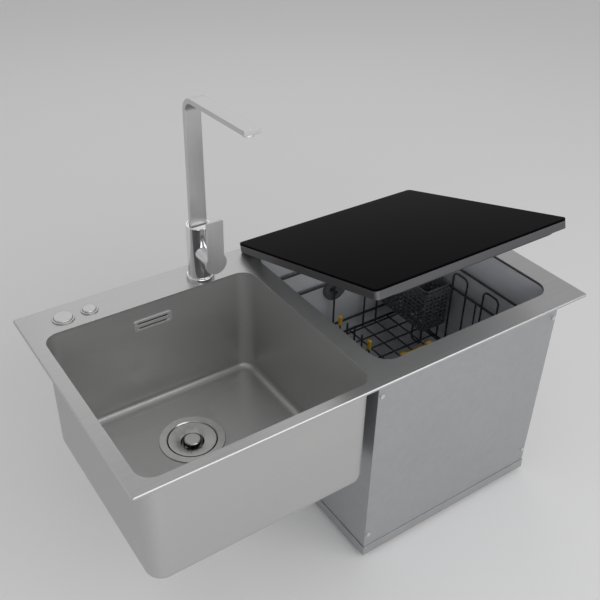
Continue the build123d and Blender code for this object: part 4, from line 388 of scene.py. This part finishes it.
FINISHES = {
    "brushed_plate": brushed_metal("brushed plate", (0.50, 0.50, 0.495), 0.32),
    "bowl_steel": folded_steel("bowl steel", (0.49, 0.49, 0.485), 0.42),
    "drain_steel": polished_metal("drain steel", (0.55, 0.545, 0.54), 0.18),
    "bright_chrome": polished_metal("bright chrome", (0.80, 0.80, 0.81), 0.08),
    "satin_steel": brushed_metal(
        "satin steel", (0.62, 0.62, 0.62), 0.38, (420.0, 420.0, 12.0), 0.1, 0.75
    ),
    "black_glass": dark_glass("black glass", (0.002, 0.002, 0.0025)),
    "lid_metal": brushed_metal("lid metal", (0.14, 0.14, 0.145), 0.36),
    "tub_steel": folded_steel("tub steel", (0.86, 0.87, 0.90), 0.38, metal=0.4),
    "casing_steel": brushed_metal("casing steel", (0.42, 0.43, 0.44), 0.42, (60.0, 60.0, 60.0)),
    "seal_rubber": moulded_plastic("seal rubber", (0.022, 0.022, 0.023), 0.6),
    "black_plastic": moulded_plastic("black plastic", (0.10, 0.103, 0.11), 0.55),
    "grey_plastic": moulded_plastic("grey plastic", (0.22, 0.23, 0.24), 0.45),
    "white_plastic": moulded_plastic("white plastic", (0.68, 0.68, 0.66), 0.42),
    "yellow_plastic": moulded_plastic("yellow plastic", (0.72, 0.44, 0.03), 0.36),
    "rack_wire": moulded_plastic("rack wire coat", (0.035, 0.038, 0.043), 0.34, 500.0),
    "brass": polished_metal("turned brass", (0.62, 0.45, 0.22), 0.2),
}


def slot_of(node):
    """The record's material slot of a solid."""
    for part in frame["record"]["subparts"]:
        if part["node"] == node:
            return part["material_slot"]
    raise KeyError(node)


def finish_nodes():
    """Gives every solid the material of its slot."""
    for name, node in NODES.items():
        node.data.materials.clear()
        node.data.materials.append(FINISHES[slot_of(name)])


def select_only(*pieces):
    bpy.ops.object.select_all(action="DESELECT")
    for piece in pieces:
        piece.select_set(True)
    bpy.context.view_layer.objects.active = pieces[0]


def round_edges(piece, width):
    """Rounds a piece's sharp edges and shades it smooth between them."""
    select_only(piece)
    rounding = piece.modifiers.new("rounding", "BEVEL")
    rounding.width = width
    rounding.segments = EDGE_SEGMENTS
    rounding.limit_method = "ANGLE"
    rounding.angle_limit = math.radians(SHARP_ANGLE)
    bpy.ops.object.modifier_apply(modifier="rounding")
    bpy.ops.object.shade_smooth_by_angle(angle=math.radians(SMOOTH_ANGLE))
    flats = piece.modifiers.new("flats", "WEIGHTED_NORMAL")
    flats.keep_sharp = True
    flats.weight = FLATS_WEIGHT
    bpy.ops.object.modifier_apply(modifier="flats")
    return piece


def join(pieces):
    """One piece of several."""
    select_only(*pieces)
    bpy.ops.object.join()
    return bpy.context.active_object


def settle(piece, name, body, slot, *nodes):
    """Names a finished piece that stands for nodes, gives it its material and its body."""
    piece.name = name
    select_only(piece)
    bpy.ops.object.transform_apply(location=True, rotation=True, scale=True)
    piece.data.materials.clear()
    piece.data.materials.append(FINISHES[slot])
    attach(piece, body)
    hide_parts(*nodes)


def dressed(node, body, edge, slot):
    """Stands for a solid with a merged copy of it whose sharp edges are a little rounded."""
    piece = bpy.data.objects.new(node + "_finished", NODES[node].data.copy())
    bpy.context.collection.objects.link(piece)
    select_only(piece)
    bpy.ops.object.mode_set(mode="EDIT")
    bpy.ops.mesh.select_all(action="SELECT")
    bpy.ops.mesh.remove_doubles(threshold=MERGE_DISTANCE)
    bpy.ops.mesh.dissolve_limited(angle_limit=math.radians(FLAT_ANGLE))
    bpy.ops.object.mode_set(mode="OBJECT")
    round_edges(piece, edge)
    settle(piece, node + "_finished", body, slot, node)


def turned(centre, profile, along_y=False):
    """A lathe-turned form: a disc drawn out along a profile of radii and levels."""
    bpy.ops.object.select_all(action="DESELECT")
    radius, level = profile[0]
    bpy.ops.mesh.primitive_circle_add(
        vertices=TURNED_STEPS, radius=radius, fill_type="NGON", location=(0.0, 0.0, level)
    )
    piece = bpy.context.active_object
    select_only(piece)
    bpy.ops.object.transform_apply(location=True, rotation=True, scale=True)
    bpy.ops.object.mode_set(mode="EDIT")
    bpy.ops.mesh.select_all(action="SELECT")
    for next_radius, next_level in profile[1:]:
        rise = {"value": (0.0, 0.0, next_level - level)}
        bpy.ops.mesh.extrude_region_move(TRANSFORM_OT_translate=rise)
        ratio = next_radius / radius
        middle = (0.0, 0.0, next_level)
        bpy.ops.transform.resize(value=(ratio, ratio, 1.0), center_override=middle)
        radius, level = next_radius, next_level
    bpy.ops.mesh.select_all(action="SELECT")
    bpy.ops.mesh.normals_make_consistent(inside=False)
    bpy.ops.object.mode_set(mode="OBJECT")
    piece.location = centre
    if along_y:
        piece.rotation_euler = (math.radians(90.0), 0.0, 0.0)
    return round_edges(piece, TURNED_EDGE)


def rounded_rim(radius, top, steps):
    """The points of a rounded rim, at steps inwards from its radius and down from its top."""
    return [(radius - inwards, top - down) for inwards, down in steps]


def make_tap_body():
    """The tap's turned body with its collar's seat, its mixer's boss and the ring at its foot."""
    x, y = TAP_PLACE
    body_profile = [
        (BODY_RADIUS, BODY_FOOT),
        *rounded_rim(BODY_RADIUS, BODY_TOP, BODY_ROUND),
        (SEAT_RADIUS, BODY_TOP),
        (SEAT_RADIUS, SEAT_LEVEL),
    ]
    boss_profile = [
        (BOSS_RADIUS, BOSS_ROOT),
        *rounded_rim(BOSS_RADIUS, BOSS_REACH, BOSS_ROUND),
        (BOSS_MOUTH, BOSS_REACH),
        (BOSS_BORE, BOSS_FLOOR),
    ]
    ring_profile = [
        (RING_RADIUS, RING_FOOT),
        *rounded_rim(RING_RADIUS, RING_TOP, RING_ROUND),
        (RING_BORE, RING_TOP),
        (RING_BORE, RING_SEAT),
    ]
    body = turned((x, y, 0.0), body_profile)
    boss = turned((x, y, BOSS_LEVEL), boss_profile, True)
    settle(join([body, boss]), "tap_body_turned", "base", "bright_chrome", "tap_body")
    ring = turned((x, y, 0.0), ring_profile)
    settle(ring, "tap_ring_turned", "base", "bright_chrome", "tap_base_ring")


def wire(route, radius, bend=0.0, closed=False):
    """A round wire through the points of a route, with its corners bent."""
    curve = bpy.data.curves.new("wire", "CURVE")
    curve.dimensions = "3D"
    curve.bevel_depth = radius
    curve.bevel_resolution = WIRE_RESOLUTION
    curve.resolution_u = BEND_STEPS
    curve.use_fill_caps = True
    turns = []
    for index, point in enumerate(route):
        here = Vector(point)
        if bend == 0.0 or (not closed and index in (0, len(route) - 1)):
            turns.append((here, here, here))
            continue
        before = here + (Vector(route[index - 1]) - here).normalized() * bend
        after = here + (Vector(route[(index + 1) % len(route)]) - here).normalized() * bend
        turns.append((before, before, before.lerp(here, BEND_HANDLE)))
        turns.append((after, after.lerp(here, BEND_HANDLE), after))
    spline = curve.splines.new("BEZIER")
    spline.bezier_points.add(len(turns) - 1)
    for point, (place, before, after) in zip(spline.bezier_points, turns):
        point.handle_left_type = "FREE"
        point.handle_right_type = "FREE"
        point.co = place
        point.handle_left = before
        point.handle_right = after
    spline.use_cyclic_u = closed
    piece = bpy.data.objects.new("wire", curve)
    bpy.context.collection.objects.link(piece)
    select_only(piece)
    bpy.ops.object.convert(target="MESH")
    piece = bpy.context.active_object
    bpy.ops.object.shade_smooth_by_angle(angle=math.radians(SMOOTH_ANGLE))
    return piece


def block(low, high, edge):
    """A small solid between two corners, with rounded edges."""
    size = [b - a for a, b in zip(low, high)]
    middle = [(a + b) / 2 for a, b in zip(low, high)]
    bpy.ops.object.select_all(action="DESELECT")
    bpy.ops.mesh.primitive_cube_add(size=1.0, location=middle, scale=size)
    piece = bpy.context.active_object
    select_only(piece)
    bpy.ops.object.transform_apply(location=True, rotation=True, scale=True)
    return round_edges(piece, edge)


def ring_route(z):
    """The four corners of a ring of wire round the rack."""
    x, y = RACK_MIDDLE
    return [
        (x - RACK_HALF_X, y - RACK_HALF_Y, z),
        (x + RACK_HALF_X, y - RACK_HALF_Y, z),
        (x + RACK_HALF_X, y + RACK_HALF_Y, z),
        (x - RACK_HALF_X, y + RACK_HALF_Y, z),
    ]


def make_rack():
    """The rack's side and end panels, bent from coated wire."""
    x, y = RACK_MIDDLE
    wires = [
        wire(ring_route(RACK_TOP), RAIL, RAIL_BEND, True),
        wire(ring_route(RACK_SECOND), RAIL, RAIL_BEND, True),
        wire(ring_route(RACK_FLOOR), RAIL, FLOOR_BEND, True),
    ]
    for side in (-1, 1):
        panel = x + side * RACK_HALF_X
        for place in HOOP_PLACES:
            hoop = [
                (panel, y + place - HOOP_HALF, RACK_FLOOR),
                (panel, y + place - HOOP_HALF, HOOP_TOP),
                (panel, y + place + HOOP_HALF, HOOP_TOP),
                (panel, y + place + HOOP_HALF, RACK_FLOOR),
            ]
            wires.append(wire(hoop, HOOP_WIRE, HOOP_BEND))
        for place in SIDE_UPRIGHTS:
            upright = [(panel, y + place, RACK_FLOOR), (panel, y + place, RACK_SECOND)]
            wires.append(wire(upright, THIN))
        for place in (-LEG_PLACE, LEG_PLACE):
            foot = [
                (panel, y + place - LEG_HALF, RACK_FLOOR),
                (panel, y + place - LEG_HALF, LEG_LEVEL),
                (panel, y + place + LEG_HALF, LEG_LEVEL),
                (panel, y + place + LEG_HALF, RACK_FLOOR),
            ]
            wires.append(wire(foot, HOOP_WIRE, LEG_BEND))
        end = y + side * RACK_HALF_Y
        left, right = x - RACK_HALF_X + LOW_RAIL_INSET, x + RACK_HALF_X - LOW_RAIL_INSET
        wires.append(wire([(left, end, RACK_LOW), (right, end, RACK_LOW)], RAIL))
        for place in END_UPRIGHTS:
            upright = [(x + place, end, RACK_FLOOR), (x + place, end, RACK_TOP)]
            wires.append(wire(upright, HOOP_WIRE))
    nodes = ("rack_side_panels", "rack_end_panels")
    settle(join(wires), "rack_wire_panels", "rack", "rack_wire", *nodes)


def make_tines():
    """The folding tines: upright wires on a rod that lies on the rack's floor."""
    for name, along, count in TINES:
        first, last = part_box(name)
        middle = [(a + b) / 2 for a, b in zip(first, last)]
        rod_z = first[2] + RAIL
        start, end = list(middle), list(middle)
        start[2], end[2] = rod_z, rod_z
        start[along], end[along] = first[along], last[along]
        wires = [wire([start, end], RAIL)]
        run = last[along] - first[along] - 2 * TINE_END
        for index in range(count):
            foot = list(middle)
            foot[along] = first[along] + TINE_END + run * index / (count - 1)
            foot[2] = rod_z
            tip = list(foot)
            tip[2] = last[2]
            wires.append(wire([foot, tip], HOOP_WIRE))
        settle(join(wires), name + "_wires", name, "rack_wire", name)


def lattice(corner, along, up, columns, rows):
    """One wall or the floor of the cutlery basket: flat moulded bars round rows of holes."""
    corner, along, up = Vector(corner), Vector(along), Vector(up)
    bpy.ops.object.select_all(action="DESELECT")
    bpy.ops.mesh.primitive_grid_add(x_subdivisions=columns, y_subdivisions=rows, size=1.0)
    panel = bpy.context.active_object
    across = along.cross(up).normalized()
    centre = corner + along / 2 + up / 2
    panel.matrix_world = Matrix(
        (
            (along.x, up.x, across.x, centre.x),
            (along.y, up.y, across.y, centre.y),
            (along.z, up.z, across.z, centre.z),
            (0.0, 0.0, 0.0, 1.0),
        )
    )
    select_only(panel)
    bpy.ops.object.transform_apply(location=True, rotation=True, scale=True)
    bpy.ops.object.mode_set(mode="EDIT")
    bpy.ops.mesh.select_all(action="SELECT")
    bpy.ops.mesh.inset(thickness=LATTICE_BAR / 2, use_individual=True, use_even_offset=True)
    bpy.ops.mesh.delete(type="FACE")
    bpy.ops.object.mode_set(mode="OBJECT")
    bars = panel.modifiers.new("bars", "SOLIDIFY")
    bars.thickness = LATTICE_SHEET
    bars.offset = 0.0
    bpy.ops.object.modifier_apply(modifier="bars")
    return panel


def basket_band(low, high, z, height):
    """A solid band round the four walls of the basket."""
    x0, y0 = low
    x1, y1 = high
    top = z + height
    return [
        block((x0, y0, z), (x0 + BASKET_WALL, y1, top), BAND_EDGE),
        block((x1 - BASKET_WALL, y0, z), (x1, y1, top), BAND_EDGE),
        block((x0, y0, z), (x1, y0 + BASKET_WALL, top), BAND_EDGE),
        block((x0, y1 - BASKET_WALL, z), (x1, y1, top), BAND_EDGE),
    ]


def make_basket():
    """The cutlery basket: lattice walls and floor, a plain divider, bands, posts and two hooks."""
    low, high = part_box("cutlery_basket")
    x0, y0, z0 = low
    x1, y1, z1 = x0 + BASKET_WIDTH, high[1], z0 + BASKET_HEIGHT
    inset = BASKET_WALL / 2
    corner = (x0 + inset, y0 + inset, z0 + inset)
    long_side = (0.0, y1 - y0 - BASKET_WALL, 0.0)
    short_side = (x1 - x0 - BASKET_WALL, 0.0, 0.0)
    rise = (0.0, 0.0, z1 - z0 - BASKET_WALL)
    middle = (y0 + y1) / 2
    divider_low = (x0, middle - LATTICE_SHEET / 2, z0)
    divider_high = (x1, middle + LATTICE_SHEET / 2, z1 - DIVIDER_DROP)
    parts = [
        lattice(corner, long_side, rise, LONG_CELLS, HIGH_CELLS),
        lattice((x1 - inset, corner[1], corner[2]), long_side, rise, LONG_CELLS, HIGH_CELLS),
        lattice(corner, short_side, rise, SHORT_CELLS, HIGH_CELLS),
        lattice((corner[0], y1 - inset, corner[2]), short_side, rise, SHORT_CELLS, HIGH_CELLS),
        block(divider_low, divider_high, DIVIDER_EDGE),
        lattice(corner, short_side, long_side, SHORT_CELLS, LONG_CELLS),
    ]
    for z, height in (
        (z1 - RIM_HEIGHT, RIM_HEIGHT),
        (z1 - SECOND_BAND_DROP, SECOND_BAND_HEIGHT),
        (z0, LOW_BAND_HEIGHT),
    ):
        parts += basket_band((x0, y0), (x1, y1), z, height)
    divider_rim = (x0, middle - inset, z1 - DIVIDER_RIM)
    parts.append(block(divider_rim, (x1, middle + inset, z1), BAND_EDGE))
    for x in (x0, x1 - POST_SIDE):
        for y in (y0, y1 - POST_SIDE):
            parts.append(block((x, y, z0), (x + POST_SIDE, y + POST_SIDE, z1), POST_EDGE))
    reach, top = high[0], high[2]
    inner = x1 - HOOK_SHEET
    for place in (middle - HOOK_HALF_SPACING, middle + HOOK_HALF_SPACING):
        front, back = place - HOOK_HALF_WIDTH, place + HOOK_HALF_WIDTH
        parts += [
            block((inner, front, top - HOOK_SHEET), (reach, back, top), HOOK_EDGE),
            block((reach - HOOK_SHEET, front, top - HOOK_DROP), (reach, back, top), HOOK_EDGE),
            block((inner, front, z1 - HOOK_ROOT), (x1, back, top), HOOK_EDGE),
        ]
    settle(join(parts), "basket_lattice", "basket", "black_plastic", "cutlery_basket")


def area_light(name, place, target, size, power):
    light = bpy.data.lights.new(name, "AREA")
    light.shape = "RECTANGLE"
    light.size, light.size_y = size
    light.energy = power
    lamp = bpy.data.objects.new(name, light)
    bpy.context.collection.objects.link(lamp)
    lamp.location = place
    direction = Vector(target) - Vector(place)
    lamp.rotation_euler = direction.to_track_quat("-Z", "Y").to_euler()


def make_studio():
    """Pale floor, pale surroundings and soft lamps."""
    bpy.ops.mesh.primitive_plane_add(size=2 * FLOOR_HALF, location=(0.0, 0.0, 0.0))
    floor = bpy.context.active_object
    floor.name = "studio_floor"
    paint = Finish("studio floor", FLOOR_COLOUR, FLOOR_ROUGHNESS)
    floor.data.materials.append(paint.material)
    world = bpy.data.worlds.new("studio world")
    world.use_nodes = True
    background = world.node_tree.nodes["Background"]
    background.inputs["Color"].default_value = (*WORLD_COLOUR, 1.0)
    background.inputs["Strength"].default_value = WORLD_STRENGTH
    bpy.context.scene.world = world
    for name, (place, target, size, power) in LAMPS.items():
        area_light(name, place, target, size, power)


def make_camera():
    camera = bpy.data.objects.new("camera", bpy.data.cameras.new("camera"))
    bpy.context.collection.objects.link(camera)
    turn = Matrix.Rotation(math.radians(-CAMERA_AZIMUTH), 4, "Z")
    tilt = Matrix.Rotation(math.radians(90.0 - CAMERA_ELEVATION), 4, "X")
    roll = Matrix.Rotation(math.radians(CAMERA_ROLL), 4, "Z")
    camera.matrix_world = Matrix.Translation(CAMERA_PLACE) @ turn @ tilt @ roll
    camera.data.lens = CAMERA_LENS
    camera.data.sensor_width = CAMERA_SENSOR
    camera.data.clip_start = CAMERA_NEAR
    camera.data.clip_end = CAMERA_FAR
    bpy.context.scene.camera = camera


make_camera()
make_studio()
finish_nodes()
for solid, body, edge in DRESSED_PIECES:
    dressed(solid, body, edge, DRESSED_SLOTS.get(solid, slot_of(solid)))
make_tap_body()
make_rack()
make_tines()
make_basket()
bpy.context.scene.view_settings.view_transform = "Standard"
